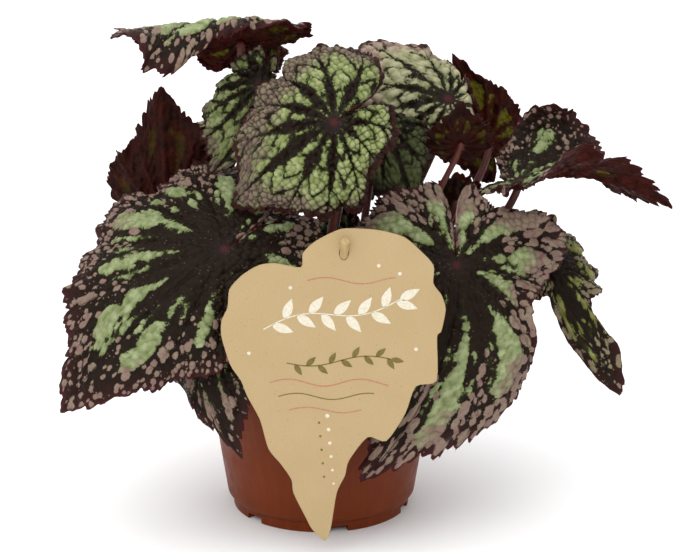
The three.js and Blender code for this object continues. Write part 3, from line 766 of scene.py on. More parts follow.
def spots(leaf, rng, flat, patch, s, angle):
    """Mauve spots outside the strokes, closest together near the margin: how far inside one
    each place lies."""
    wanted = int(0.038 * leaf["length"] ** 2 * leaf["wide"] / leaf["spot_size"])
    slender = 1.1 + 0.3 * leaf["spot_size"]
    grown = 0.6 + 0.4 * leaf["length"] / FULL_SIZE
    kept = np.full((wanted, 4), 1e6)
    found = 0
    for i in rng.permutation(len(s))[:SPOT_TRIES]:
        radius = rng.triangular(0.45, 0.8, 2.3) * grown * leaf["spot_size"]
        if found == wanted:
            break
        if not 0.4 < s[i] < 0.975 or patch[i] > -0.4 - 0.8 * radius:
            continue
        if rng.random() > smooth(0.42, 0.85, s[i]):
            continue
        x, y = flat[i]
        apart = 0.95 * (radius + kept[:found, 2])
        if np.any((x - kept[:found, 0]) ** 2 + (y - kept[:found, 1]) ** 2 < apart**2):
            continue
        kept[found] = (x, y, radius, angle[i])
        found += 1
    inside = np.full(s.shape, FAR_OUTSIDE)
    for x, y, radius, way in kept[:found]:
        near = np.flatnonzero(np.abs(flat[:, 0] - x) + np.abs(flat[:, 1] - y) < 3 * radius + 3)
        dx, dy = flat[near, 0] - x, flat[near, 1] - y
        along = dx * math.cos(way) + dy * math.sin(way)
        square = -dx * math.sin(way) + dy * math.cos(way)
        depth = radius - np.hypot(along / slender, square * 1.1)
        inside[near] = np.maximum(inside[near], depth)
    return inside


def leaf_fields(leaf, seed, s, angle, tooth):
    """What the leaf's relief and its material are drawn from, at every place."""
    rng = np.random.default_rng(seed)
    radius = blade_reach(leaf, s, angle, tooth) * s
    x, y = radius * np.cos(angle), radius * np.sin(angle) * leaf["wide"]
    sector, across, width = vein_place(angle, s)
    sector = sector + np.where(angle < 0, len(VEIN_ANGLES) - 1, 0)
    arc = width * radius * (0.5 + 0.5 * leaf["wide"])
    from_vein = np.minimum(across, 1 - across) * arc
    wobble = noise(x / 7, y / 7, seed) + 0.5 * noise(x / 3, y / 3, seed + 1)

    # side veins leave the main veins at a slant and cells fill the room between them
    puckered = leaf["style"] == "puckered"
    side_step = 9 if puckered else 10
    slanted = radius - 0.9 * from_vein + 1.6 * wobble
    place = slanted / side_step + 0.5 * (sector % 2) + 0.37 * sector
    from_side = np.abs(place - np.round(place)) * side_step * 0.75
    bump = leaf["bump"]
    border, middle, own = cells(x / bump + 0.2 * wobble, y / bump + 0.2 * wobble, seed)
    scallop, _, bite = cells(x / 2.5, y / 2.5, seed + 3)
    ragged = 1.7 * (bite - 0.5) + 1.2 * noise(x / 4.5, y / 4.5, seed + 2)
    ragged = ragged - 0.8 * (1 - smooth(0, 0.25, scallop))

    # mauve begins nearest to the junction on the side that it leans to
    mauve_from, mauve_side, mauve_lean = leaf["mauve"]
    turned = 1 - np.cos(angle - math.radians(mauve_side))
    begin = np.minimum(mauve_from + mauve_lean * turned, 0.88)
    mauve = smooth(-0.09, 0.09, s - begin + 0.05 * wobble + 0.09 * (own - 0.5))

    if puckered:
        band, band_end = leaf["bands"]
        vein = sector + (across > 0.5)
        darkness = rng.uniform(0.4, 1.5, 2 * len(VEIN_ANGLES))[vein]
        wedge = 0.035 * leaf["length"] * darkness * (1 - smooth(0.15, band_end, s))
        wedge = 0.35 + band * np.minimum(wedge, 0.22 * arc)
        side_wedge = 0.2 + 0.35 * band * (1 - smooth(0.2, 0.9, s))
        patch = np.minimum(from_vein - wedge, from_side - side_wedge)
        patch = patch + 0.7 * (own - 0.5) + 0.45 * ragged
        patch = np.minimum(patch, (s - 0.12 - 0.05 * wobble) * leaf["length"] * HALF_WIDTH)
        edge = 0.965 - mauve_lean * 0.2 * turned + 0.02 * wobble
        patch = np.minimum(patch, (edge - s) * leaf["length"] * HALF_WIDTH)
        spot = np.full(s.shape, FAR_OUTSIDE)
    else:
        patch = strokes(leaf, rng, sector, across + 0.05 * wobble, s + 0.02 * wobble, arc)
        patch = patch + ragged
        spot = spots(leaf, rng, np.stack([x, y], 1), patch, s, angle) + 0.25 * ragged

    from_notch = smooth(math.radians(158), math.radians(174), np.abs(angle))
    return dict(
        flat=np.stack([x * MM, y * MM, np.full(s.shape, seed * 0.1)], 1),
        share=s * (1 - 0.1 * from_notch), main=from_vein, side=from_side,
        border=border, middle=middle, patch=patch, spot=spot, mauve=mauve, radius=radius,
        # the leaf's painted shade and tone, and how strongly painted light through it shows below
        shade=np.full(s.shape, leaf["shade"]), streaks=np.full(s.shape, leaf["streaks"]),
    )


def leaf_relief(leaf, fields):
    """How far the sheet is pushed up: domes between the veins, lowest on the veins."""
    puckered = leaf["style"] == "puckered"
    domed, by_side_veins, by_veins = (2.2, 0.8, 0.9) if puckered else (1.0, 0.5, 0.6)
    dome = 1 - np.clip(fields["middle"] / 0.75, 0, 1) ** 2
    dome = 0.6 * dome + 0.4 * smooth(0, 0.3, fields["border"])
    height = domed * (dome - 0.5)
    height += by_side_veins * (smooth(0, 1.8, fields["side"]) - 0.5)
    height += by_veins * (smooth(0, 2, fields["main"]) - 0.6)
    if not puckered:
        height += 0.8 * smooth(-0.6, 1.5, fields["patch"])
        height += 0.6 * smooth(-0.5, 0.8, fields["spot"])
    size = 0.55 + 0.45 * min(leaf["length"], 90) / 90
    flatter = 1 - 0.6 * smooth(0.9, 1, fields["share"])
    return size * height * smooth(2, 9, fields["radius"]) * flatter


def margin_folds(leaf, s, angle, seed):
    """How far the sheet stands up or down in small folds towards the margin."""
    girth = HALF_WIDTH * leaf["length"] * angle
    broad = noise(girth / 7 + 60, s * 3, seed + 4) * smooth(0.7, 1, s)
    fine = noise(girth / 3.2 + 90, s * 5, seed + 6) * smooth(0.88, 1, s)
    return leaf["frill"] * (broad + 0.6 * fine)


def margin_hairs(margin, outward, normals, seed):
    """Fine hairs that stand out from the margin."""
    rng = np.random.default_rng(seed + 500)
    chosen = np.arange(0, len(margin), max(1, len(margin) // MARGIN_HAIRS))
    outward = unit(outward[chosen])
    scatter = rng.normal(0, 0.35, (len(chosen), 3))
    directions = outward + scatter + 0.2 * normals[chosen]
    lengths = rng.uniform(0.7, 2.0, len(chosen))
    return spikes(margin[chosen] - 0.2 * outward, directions, lengths, MARGIN_HAIR_RADIUS)


def make_leaf(leaf, seed, materials):
    """A thin closed sheet with an upper and an under face, ribs below and hairs round it."""
    reach = leaf["length"] * 0.62 * max(1, 0.5 + 0.5 * leaf["wide"])
    rings = ring_plan(reach, leaf["spacing"])
    s, turn = ring_places(rings, FIRST_SHARE)
    angle = 2 * math.pi * np.where(turn >= 0.5, turn - 1, turn)
    tooth = margin_teeth(leaf, angle, seed) * smooth(0.86, 1, s)
    shape = blade_shape(leaf, s, angle, tooth)
    points = np.array(leaf["junction"]) + shape @ np.stack(blade_axes(leaf))
    face = ring_triangles(rings)

    fields = leaf_fields(leaf, seed, s, angle, tooth)
    raised = leaf_relief(leaf, fields) + margin_folds(leaf, s, angle, seed)
    points = points + vertex_normals(points, face) * raised[:, None]
    normals = vertex_normals(points, face)
    half = SHEET_THICKNESS / 2 * (1 - 0.5 * smooth(0.97, 1, s))
    rib = 0.5 * (1 - smooth(0, 0.9, fields["main"])) * (1 - 0.7 * s)
    rib = rib * smooth(0.3, 3, fields["radius"])
    upper = points + normals * half[:, None]
    lower = points - normals * (half + rib)[:, None]

    count, outer = len(points), rings[-1][1]
    last = count - outer + np.arange(outer)
    inner = last - outer if rings[-2][1] == outer else last - outer // 2
    wall = np.concatenate(strip(last, last + count))[:, ::-1]
    hairs = margin_hairs(points[last], points[last] - points[inner], normals[last], seed)
    body = np.concatenate([face, face[:, ::-1] + count, wall])
    everything, triangles, owners = join([(np.concatenate([upper, lower]), body, 0), (*hairs, 2)])
    owners[len(face):2 * len(face)] = 1

    # the hairs take the values of the junction
    spare = len(everything) - 2 * count
    for key, values in fields.items():
        fields[key] = np.concatenate([values, values, np.repeat(values[:1], spare, axis=0)])
    name = f"leaf_{leaf['name']}"
    piece = triangle_mesh(name, everything, triangles, materials, owners, fields)
    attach(piece, "root")
    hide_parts(f"blade_{leaf['name']}")


# Leaf stalks


def stalk_path(leaf):
    """Places along a stalk, from its foot in the soil to the blade."""
    along, _, up = blade_axes(leaf)
    arriving = unit(up + leaf["lean"] * along)
    slant = math.sqrt(max(1 - float(arriving @ up) ** 2, 0))
    last_step = GAP + leaf["stalk"] * slant
    top = np.array(leaf["junction"]) - up * (SOLID_THICKNESS / 2 + last_step)
    foot = np.array([*leaf["root"], STALK_FOOT], dtype=float)
    rising = unit(np.array([leaf["root"][0] * 0.012, leaf["root"][1] * 0.012, 1]))
    a, b = foot + rising * leaf["rise"], top - arriving * leaf["reach"]
    t = np.linspace(0, 1, STALK_STEPS)[:, None]
    path = (1 - t) ** 3 * foot + 3 * (1 - t) ** 2 * t * a + 3 * (1 - t) * t**2 * b + t**3 * top
    return np.concatenate([path, [top + arriving * last_step]])


def make_stalk(leaf, seed, materials):
    """A slightly uneven stalk, thicker at its foot, with hairs all over."""
    path = stalk_path(leaf)
    t = np.linspace(0, 1, len(path))
    radii = leaf["stalk"] * (1 + 0.12 * (1 - smooth(0, 0.25, t)) - 0.1 * smooth(0.3, 0.8, t))
    radii *= 1 + 0.04 * noise(t * 9 + seed, t * 0, seed)
    radii[-1] *= 0.35
    points, triangles = swept_tube(path, radii, STALK_SIDES, ridges=0.03)
    normals = vertex_normals(points, triangles)

    # hairs grow anywhere but on the first row of points and on the last two
    rng = np.random.default_rng(seed + 900)
    length = np.linalg.norm(np.diff(path, axis=0), axis=1).sum()
    count = int(length * STALK_HAIRS_PER_MM)
    chosen = rng.integers(STALK_SIDES, len(points) - 2 * STALK_SIDES - 2, count)
    directions = normals[chosen] + rng.normal(0, 0.3, (count, 3))
    bases = points[chosen] + rng.normal(0, 0.5, (count, 3)) * (1 - np.abs(normals[chosen]))
    bases -= 0.3 * normals[chosen]
    hairs = spikes(bases, directions, rng.uniform(1.0, 2.4, count), STALK_HAIR_RADIUS)
    body = join([(points, triangles, 0), (*hairs, 1)])
    piece = triangle_mesh(f"leafstalk_{leaf['name']}", body[0], body[1], materials, body[2])
    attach(piece, "root")
    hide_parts(f"stalk_{leaf['name']}")


# Pot


def rounded(profile, radius=0.5, steps=3):
    """The profile with its inner corners rounded off."""
    found = [profile[0]]
    for before, corner, after in zip(profile, profile[1:], profile[2:]):
        a, c, b = np.array(before), np.array(corner), np.array(after)
        reach_a, reach_b = np.linalg.norm(a - c), np.linalg.norm(b - c)
        cut = min(radius, reach_a * 0.45, reach_b * 0.45)
        start, end = c + (a - c) * cut / reach_a, c + (b - c) * cut / reach_b
        for k in range(steps + 1):
            t = k / steps
            found.append(tuple((1 - t) ** 2 * start + 2 * (1 - t) * t * c + t * t * end))
    found.append(profile[-1])
    return found


def make_pot(material):
    """The pot turned in one piece, with notches under its foot and drain holes in its floor."""
    rim_foot = POT_HEIGHT - RIM_DEPTH
    profile = [
        (0, 0), (FOOT_RADIUS, 0), (FOOT_RADIUS, FOOT_HEIGHT),
        (WALL_FOOT_RADIUS - 0.6, FOOT_HEIGHT + 2.5), (WALL_FOOT_RADIUS, WALL_FOOT_HEIGHT),
        (SHOULDER_RADIUS, rim_foot), (RIM_RADIUS - 0.6, rim_foot + 0.8),
        (RIM_RADIUS, POT_HEIGHT - 1), (RIM_RADIUS - 0.5, POT_HEIGHT),
        (RIM_RADIUS - RIM_STEP, POT_HEIGHT), (SHOULDER_RADIUS - WALL, rim_foot),
        (WALL_FOOT_RADIUS - WALL, WALL_FOOT_HEIGHT), (FOOT_RADIUS - WALL, FOOT_HEIGHT + 1),
        (FOOT_RADIUS - WALL - 1, FLOOR), (0, FLOOR),
    ]
    pot = turned_mesh("nursery_pot", rounded(profile), POT_SIDES, material)
    cutters = []
    for i in range(NOTCH_COUNT):
        turn = 2 * math.pi * (i + 0.5) / NOTCH_COUNT + NOTCH_TURN
        centre = (FOOT_RADIUS * math.cos(turn), FOOT_RADIUS * math.sin(turn), 0)
        cutters.append(box_object((NOTCH_DEPTH, NOTCH_WIDTH, 2 * NOTCH_HEIGHT), centre, turn))
    low, high = -DRAIN_DEPTH, DRAIN_DEPTH
    rod = [(0, low), (DRAIN_RADIUS, low), (DRAIN_RADIUS, high), (0, high)]
    for i in range(DRAIN_COUNT):
        turn = 2 * math.pi * i / DRAIN_COUNT + DRAIN_TURN
        drain = turned_mesh("cutter", rod, DRAIN_SIDES, material)
        drain.location = (
            DRAIN_CIRCLE * MM * math.cos(turn), DRAIN_CIRCLE * MM * math.sin(turn), 0
        )
        cutters.append(drain)
    cut_out(pot, cutters)
    pot.data.polygons.foreach_set("use_smooth", np.ones(len(pot.data.polygons), dtype=bool))
    pot.data.set_sharp_from_angle(angle=math.radians(32))
    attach(pot, "root")
    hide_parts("pot")


# Soil and rhizome


def soil_lump(x, y):
    """Gentle rises and hollows, as on the solid."""
    return SOIL_LUMP * (
        np.sin(0.31 * x + 0.9) * np.cos(0.27 * y - 0.4) + 0.5 * np.sin(0.55 * x - 0.38 * y)
    )


def soil_height(x, y):
    """The soil's surface: nearly level in the middle, and lower round the edge."""
    top = SHOULDER_RADIUS - WALL - GAP
    crown, rim_foot = SOIL_CROWN_HEIGHT, POT_HEIGHT - RIM_DEPTH
    radii = (0, 18, top - 24, top - 8, top - 0.2)
    heights = (crown, crown, crown - 1, SOIL_EDGE_HEIGHT + 1.5, rim_foot - 2)
    return np.interp(np.hypot(x, y), radii, heights) + soil_lump(x, y)


def make_soil(materials):
    """The soil's rough top, its plain sides down to the pot's floor, and what lies on it."""
    top = SHOULDER_RADIUS - WALL - GAP - 0.2
    rings = ring_plan(top, SOIL_SPACING)
    s, turn = ring_places(rings)
    turn = turn * 2 * math.pi
    x, y = top * s * np.cos(turn), top * s * np.sin(turn)
    rough = 0.7 * noise(x / 2.6, y / 2.6, 3) + 0.45 * noise(x / 1.2, y / 1.2, 4)
    z = soil_height(x, y) + rough * (1 - smooth(0.97, 1, s))
    points = np.stack([x, y, z], 1)
    outer = rings[-1][1]
    turn = 2 * math.pi * np.arange(outer) / outer
    steps = [
        (WALL_FOOT_RADIUS - WALL - GAP, WALL_FOOT_HEIGHT),
        (FOOT_RADIUS - WALL - GAP, FOOT_HEIGHT + 1),
        (FOOT_RADIUS - WALL - 1 - GAP, FLOOR + GAP),
    ]
    found = [ring_triangles(rings)]
    high = len(points) - outer + np.arange(outer)
    for radius, height in steps:
        low = len(points) + np.arange(outer)
        row = np.stack([radius * np.cos(turn), radius * np.sin(turn), 0 * turn + height], 1)
        points = np.concatenate([points, row])
        found += strip(low, high)
        high = low
    found.append(np.stack([0 * high + len(points), np.roll(high, -1), high], 1))
    points = np.concatenate([points, [[0, 0, FLOOR + GAP]]])
    body = (points, np.concatenate(found), 0)
    loose = [crumbs(CRUMB_COUNT, 5), fibres(FIBRE_COUNT, 6)]
    all_points, triangles, owners = join([body, *loose])
    piece = triangle_mesh("peat_soil", all_points, triangles, materials, owners)
    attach(piece, "root")
    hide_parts("soil")


def crumbs(count, seed):
    """Loose crumbs on the soil: small lumps of twenty faces each."""
    rng = np.random.default_rng(seed)
    body = bmesh.new()
    bmesh.ops.create_icosphere(body, subdivisions=1, radius=1)
    ball = np.array([v.co for v in body.verts])
    faces = np.array([[v.index for v in f.verts] for f in body.faces])
    body.free()
    points, triangles = [], []
    for i in range(count):
        radius = CRUMB_FIELD * math.sqrt(rng.random())
        turn = rng.random() * 2 * math.pi
        x, y = radius * math.cos(turn), radius * math.sin(turn)
        size = rng.uniform(0.5, 1.7) * rng.uniform(0.7, 1.2, 3)
        lump = ball * size * rng.uniform(0.75, 1.15, (len(ball), 1))
        centre = (x, y, float(soil_height(x, y)) + 0.45 * size[2])
        points.append(lump + centre)
        triangles.append(faces + i * len(ball))
    return np.concatenate(points), np.concatenate(triangles), 0


def fibres(count, seed):
    """Loose fibres on the soil, most of them lying nearly flat."""
    rng = np.random.default_rng(seed)
    radius = FIBRE_FIELD * np.sqrt(rng.random(count))
    turn = rng.random(count) * 2 * math.pi
    x, y = radius * np.cos(turn), radius * np.sin(turn)
    bases = np.stack([x, y, soil_height(x, y) + 0.4], 1)
    way = rng.random(count) * 2 * math.pi
    directions = np.stack([np.cos(way), np.sin(way), rng.uniform(-0.02, 0.35, count)], 1)
    points, triangles = spikes(bases, directions, rng.uniform(3, 9, count), FIBRE_RADIUS)
    return points, triangles, 1


def make_rhizome(material):
    """The knobbly creeping stem, bowed a little and ringed with scars."""
    sides, rows = 48, 72
    length, width, height = RHIZOME_SIZE
    x = np.sin(np.linspace(-1, 1, rows) * math.pi / 2)
    girth = np.sqrt(np.clip(1 - x * x, 0, 1)) * (1 + 0.06 * np.sin(9 * x) * (1 - x * x))
    grid_x = np.repeat(x, sides)
    grid_turn = np.tile(2 * math.pi * np.arange(sides) / sides, rows)
    grid_girth = np.repeat(girth, sides)
    knobs = 1 + 0.1 * noise(grid_x * 9, np.cos(grid_turn) * 3, 8)
    knobs += 0.04 * noise(grid_x * 30, np.cos(grid_turn) * 9, 9)
    scars = 0.05 * np.maximum(np.sin(26 * grid_x), 0) ** 4
    round_about = grid_girth * (knobs + scars)
    points = np.stack([
        grid_x * length,
        width * round_about * np.cos(grid_turn) + RHIZOME_BOW * (grid_x**2 - 0.4),
        RHIZOME_HEIGHT + height * round_about * np.sin(grid_turn),
    ], 1)
    triangles = np.concatenate(tube_sides(rows, sides))
    piece = triangle_mesh("creeping_stem", points, triangles, [material])
    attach(piece, "root")
    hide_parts("rhizome")


# Label


def softened(points, steps=4, ease=0.75):
    """A closed outline through the points with soft corners."""
    ring = np.array(points, dtype=float)
    found = []
    for i in range(len(ring)):
        before, a, b, after = (ring[(i + k) % len(ring)] for k in (-1, 0, 1, 2))
        for k in range(steps):
            found.append(hermite(k / steps, ease / 2, a, b, b - before, after - a))
    return np.array(found)


def thicken(body, depth):
    """Gives the flat faces of an edited mesh a thickness, towards the back if it is above 0."""
    extruded = bmesh.ops.extrude_face_region(body, geom=body.faces[:])
    moved = [part for part in extruded["geom"] if isinstance(part, bmesh.types.BMVert)]
    bmesh.ops.translate(body, verts=moved, vec=(0, depth * MM, 0))
    bmesh.ops.recalc_face_normals(body, faces=body.faces)


def flat_face(body, outline, y):
    """Adds an upright face to an edited mesh, its outline given across and up."""
    return body.faces.new([body.verts.new((x * MM, y * MM, z * MM)) for x, z in outline])


def card_plate(name, material):
    """The upright card, with its edges taken off a little."""
    body = bmesh.new()
    plate = flat_face(body, softened(CARD_OUTLINE), CARD_FRONT)
    if plate.normal.y > 0:
        plate.normal_flip()
    thicken(body, CARD_THICKNESS)
    rims = [e for e in body.edges if abs(e.verts[0].co.y - e.verts[1].co.y) < 1e-7]
    bmesh.ops.bevel(body, geom=rims, offset=CARD_EDGE * MM, segments=2, affect="EDGES")
    return shaped_object(name, body, material)


def stick_mesh(name, radius, material):
    """The round stick, or a rod along it, from the soil to a little past the card's hole."""
    foot, eye = np.array(STICK_FOOT, dtype=float), np.array(STICK_EYE, dtype=float)
    length = np.linalg.norm(eye - foot) + STICK_PAST_EYE
    along = [0, 0.25, *np.linspace(2, length - 2, 24), length - 0.35, length - 0.1, length]
    radii = np.full(len(along), float(radius))
    radii[0] *= STICK_END
    radii[-2:] *= STICK_END
    path = foot + unit(eye - foot) * np.array(along)[:, None]
    points, triangles = swept_tube(path, radii, STICK_SIDES)
    return triangle_mesh(name, points, triangles, [material])


def petal(x, z, turn, length, width):
    """The outline of a small pointed leaf that starts at (x, z)."""
    t = np.linspace(0, 1, 9)
    half = width / 2 * np.sin(math.pi * t**0.8)
    along = np.concatenate([t, t[-2:0:-1]]) * length
    aside = np.concatenate([half, -half[-2:0:-1]])
    turn = math.radians(turn)
    return np.stack([
        x + along * math.cos(turn) - aside * math.sin(turn),
        z + along * math.sin(turn) + aside * math.cos(turn),
    ], 1)


def dot(x, z, radius):
    """The outline of a round dot."""
    turns = np.linspace(0, 2 * math.pi, 17)[:-1]
    return np.stack([x + radius * np.cos(turns), z + radius * np.sin(turns)], 1)


def ribbon(points, width):
    """The outline of a line of even width, given by its middle."""
    points = np.array(points, dtype=float)
    ways = unit(np.gradient(points, axis=0))
    aside = np.stack([-ways[:, 1], ways[:, 0]], 1) * width / 2
    return np.concatenate([points + aside, (points - aside)[::-1]])


def sprig(start, end, rise, leaves, length, width):
    """A curved twig with leaves in turn on either side."""
    t = np.linspace(0, 1, 25)
    x = start[0] + (end[0] - start[0]) * t
    z = start[1] + (end[1] - start[1]) * t + rise * np.sin(2 * math.pi * t)
    shapes = [ribbon(np.stack([x, z], 1), 0.55)]
    slope = np.degrees(np.arctan2(np.gradient(z), np.gradient(x)))
    for k in range(leaves):
        at = (k + 0.7) / leaves * 24
        place = [float(np.interp(at, range(25), values)) for values in (x, z, slope)]
        side = 48 if k % 2 else -48
        shapes.append(petal(place[0], place[1], place[2] + side, length, width))
    shapes.append(petal(x[-1], z[-1], slope[-1], length, width))
    return shapes


def waved(x_from, x_to, z, rise, width):
    """The outline of a waved line that runs across the card."""
    x = np.linspace(x_from, x_to, 41)
    return ribbon(np.stack([x, z + rise * np.sin((x - x_from) / 5.5)], 1), width)


def make_print(name, outlines, material):
    """Flat shapes of ink on the card's front."""
    body = bmesh.new()
    for outline in outlines:
        flat_face(body, outline, CARD_FRONT - INK_LIFT)
    bmesh.ops.triangulate(body, faces=body.faces[:])
    thicken(body, -INK)
    thing = shaped_object(name, body, material)
    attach(thing, "root")


def make_prints():
    """A printed design of leafy twigs, waved lines and dots."""
    white = sprig((-27, 118), (38, 133), 3.5, 11, 11, 4.6)
    white += [dot(3.5 + 0.6 * k, 74 - 7 * k, 1.0 - 0.08 * k) for k in range(6)]
    corners = ((-34, 106), (46, 108), (28, 150), (-14, 139), (38, 146))
    white += [dot(x, z, 0.9) for x, z in corners]
    olive = sprig((-16, 101), (34, 103), -2, 9, 6.5, 2.8)
    olive += [dot(-0.5 + 0.6 * k, 70.5 - 7 * k, 0.6) for k in range(5)]
    olive += [waved(-20, 26, 84, 1.6, 0.5)]
    pink = [waved(-24, 33, 91, 1.8, 0.55), waved(-15, 20, 77, 1.4, 0.5)]
    pink += [waved(-6, 36, 142.5, 1.6, 0.5)]
    inks = {
        "white": (white, (226, 216, 190), (238, 231, 212)),
        "olive": (olive, (112, 98, 50), (130, 114, 62)),
        "pink": (pink, (184, 120, 98), (196, 136, 112)),
    }
    for colour, (outlines, worn, full) in inks.items():
        ink = ink_material(f"{colour}_ink", rgb(*worn), rgb(*full))
        make_print(f"card_print_{colour}", outlines, ink)


def make_label(card_material, stick_material):
    """The card, with the stick through its hole."""
    card = card_plate("kraft_card", card_material)
    cut_out(card, [stick_mesh("cutter", STICK_RADIUS + GAP, card_material)])
    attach(card, "root")
    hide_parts("label_card")
    stick = stick_mesh("wooden_stick", STICK_RADIUS, stick_material)
    stick.data.set_sharp_from_angle(angle=math.radians(40))
    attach(stick, "root")
    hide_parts("label_stick")


# Materials


def rgb(red, green, blue, lightness=LIGHTNESS):
    """A colour given as it looks on a screen, 0 to 255, for a shader."""
    def linear(value):
        v = value / 255
        return lightness * (v / 12.92 if v <= 0.04045 else ((v + 0.055) / 1.055) ** 2.4)
    return (linear(red), linear(green), linear(blue), 1)


class Graph:
    """A material's nodes, with short calls for the few kinds that are used here."""

    def __init__(self, name, **shader_values):
        self.material = bpy.data.materials.new(name)
        self.material.use_nodes = True
        self.tree = self.material.node_tree
        self.tree.nodes.clear()
        self.shader = self.add("ShaderNodeBsdfPrincipled")
        output = self.add("ShaderNodeOutputMaterial")
        self.tree.links.new(self.shader.outputs[0], output.inputs[0])
        for socket, value in shader_values.items():
            self.shader.inputs[socket.replace("_", " ")].default_value = value

    def add(self, kind, inputs=None, **settings):
        node = self.tree.nodes.new(kind)
        for key, value in settings.items():
            setattr(node, key, value)
        for key, value in (inputs or {}).items():
            self.put(node.inputs[key], value)
        return node

    def put(self, socket, value):
        if isinstance(value, bpy.types.NodeSocket):
            self.tree.links.new(value, socket)
        else:
            socket.default_value = value

    def field(self, name):
        """A value that the mesh carries at every point."""
        return self.add("ShaderNodeAttribute", attribute_name=name).outputs["Fac"]

    def vector(self, name):
        return self.add("ShaderNodeAttribute", attribute_name=name).outputs["Vector"]

    def object_place(self):
        return self.add("ShaderNodeTexCoord").outputs["Object"]

    def stretched(self, vector, scale):
        node = self.add("ShaderNodeMapping", {"Vector": vector, "Scale": scale})
        return node.outputs[0]

    def noise(self, vector, size, detail=2, rough=0.5):
        """Noise whose features are about size millimetres wide."""
        values = {"Vector": vector, "Scale": 1 / (size * MM), "Detail": detail, "Roughness": rough}
        return self.add("ShaderNodeTexNoise", values).outputs["Fac"]

    def cell_distance(self, vector, size):
        """Distance from the middle of the nearest of many cells, each about size wide."""
        values = {"Vector": vector, "Scale": 1 / (size * MM)}
        return self.add("ShaderNodeTexVoronoi", values).outputs["Distance"]

    def math(self, kind, a, b):
        return self.add("ShaderNodeMath", {0: a, 1: b}, operation=kind).outputs[0]

    def times(self, a, b):
        return self.math("MULTIPLY", a, b)

    def plus(self, a, b):
        return self.math("ADD", a, b)

    def step(self, value, start, end, low=0.0, high=1.0):
        """Rises softly from low to high while the value goes from start to end."""
        values = {0: value, 1: start, 2: end, 3: low, 4: high}
        return self.add("ShaderNodeMapRange", values, interpolation_type="SMOOTHSTEP").outputs[0]

    def mix(self, factor, a, b):
        """Colour a where the factor is 0 and colour b where it is 1."""
        return self.add("ShaderNodeMix", {0: factor, 6: a, 7: b}, data_type="RGBA").outputs[2]

    def ragged(self, vector, size, strength):
        """Fine noise about zero, which makes the edge of a marking ragged."""
        return self.times(self.math("SUBTRACT", self.noise(vector, size, 3, 0.6), 0.5), strength)

    def finish(self, colour, grain, low, high, relief=None, strength=0.0, depth=0.0):
        """The material with this colour, a roughness from low to high that follows the grain,
        and a relief of this depth in millimetres."""
        self.put(self.shader.inputs["Base Color"], colour)
        self.put(self.shader.inputs["Roughness"], self.step(grain, 0.3, 0.7, low, high))
        if relief is not None:
            values = {"Height": relief, "Strength": strength, "Distance": depth * MM}
            bump = self.add("ShaderNodeBump", values)
            self.put(self.shader.inputs["Normal"], bump.outputs[0])
        return self.material


def grey(value):
    return (value, value, value, 1)


def blend(a, b, share):
    return tuple(x * (1 - share) + y * share for x, y in zip(a, b))


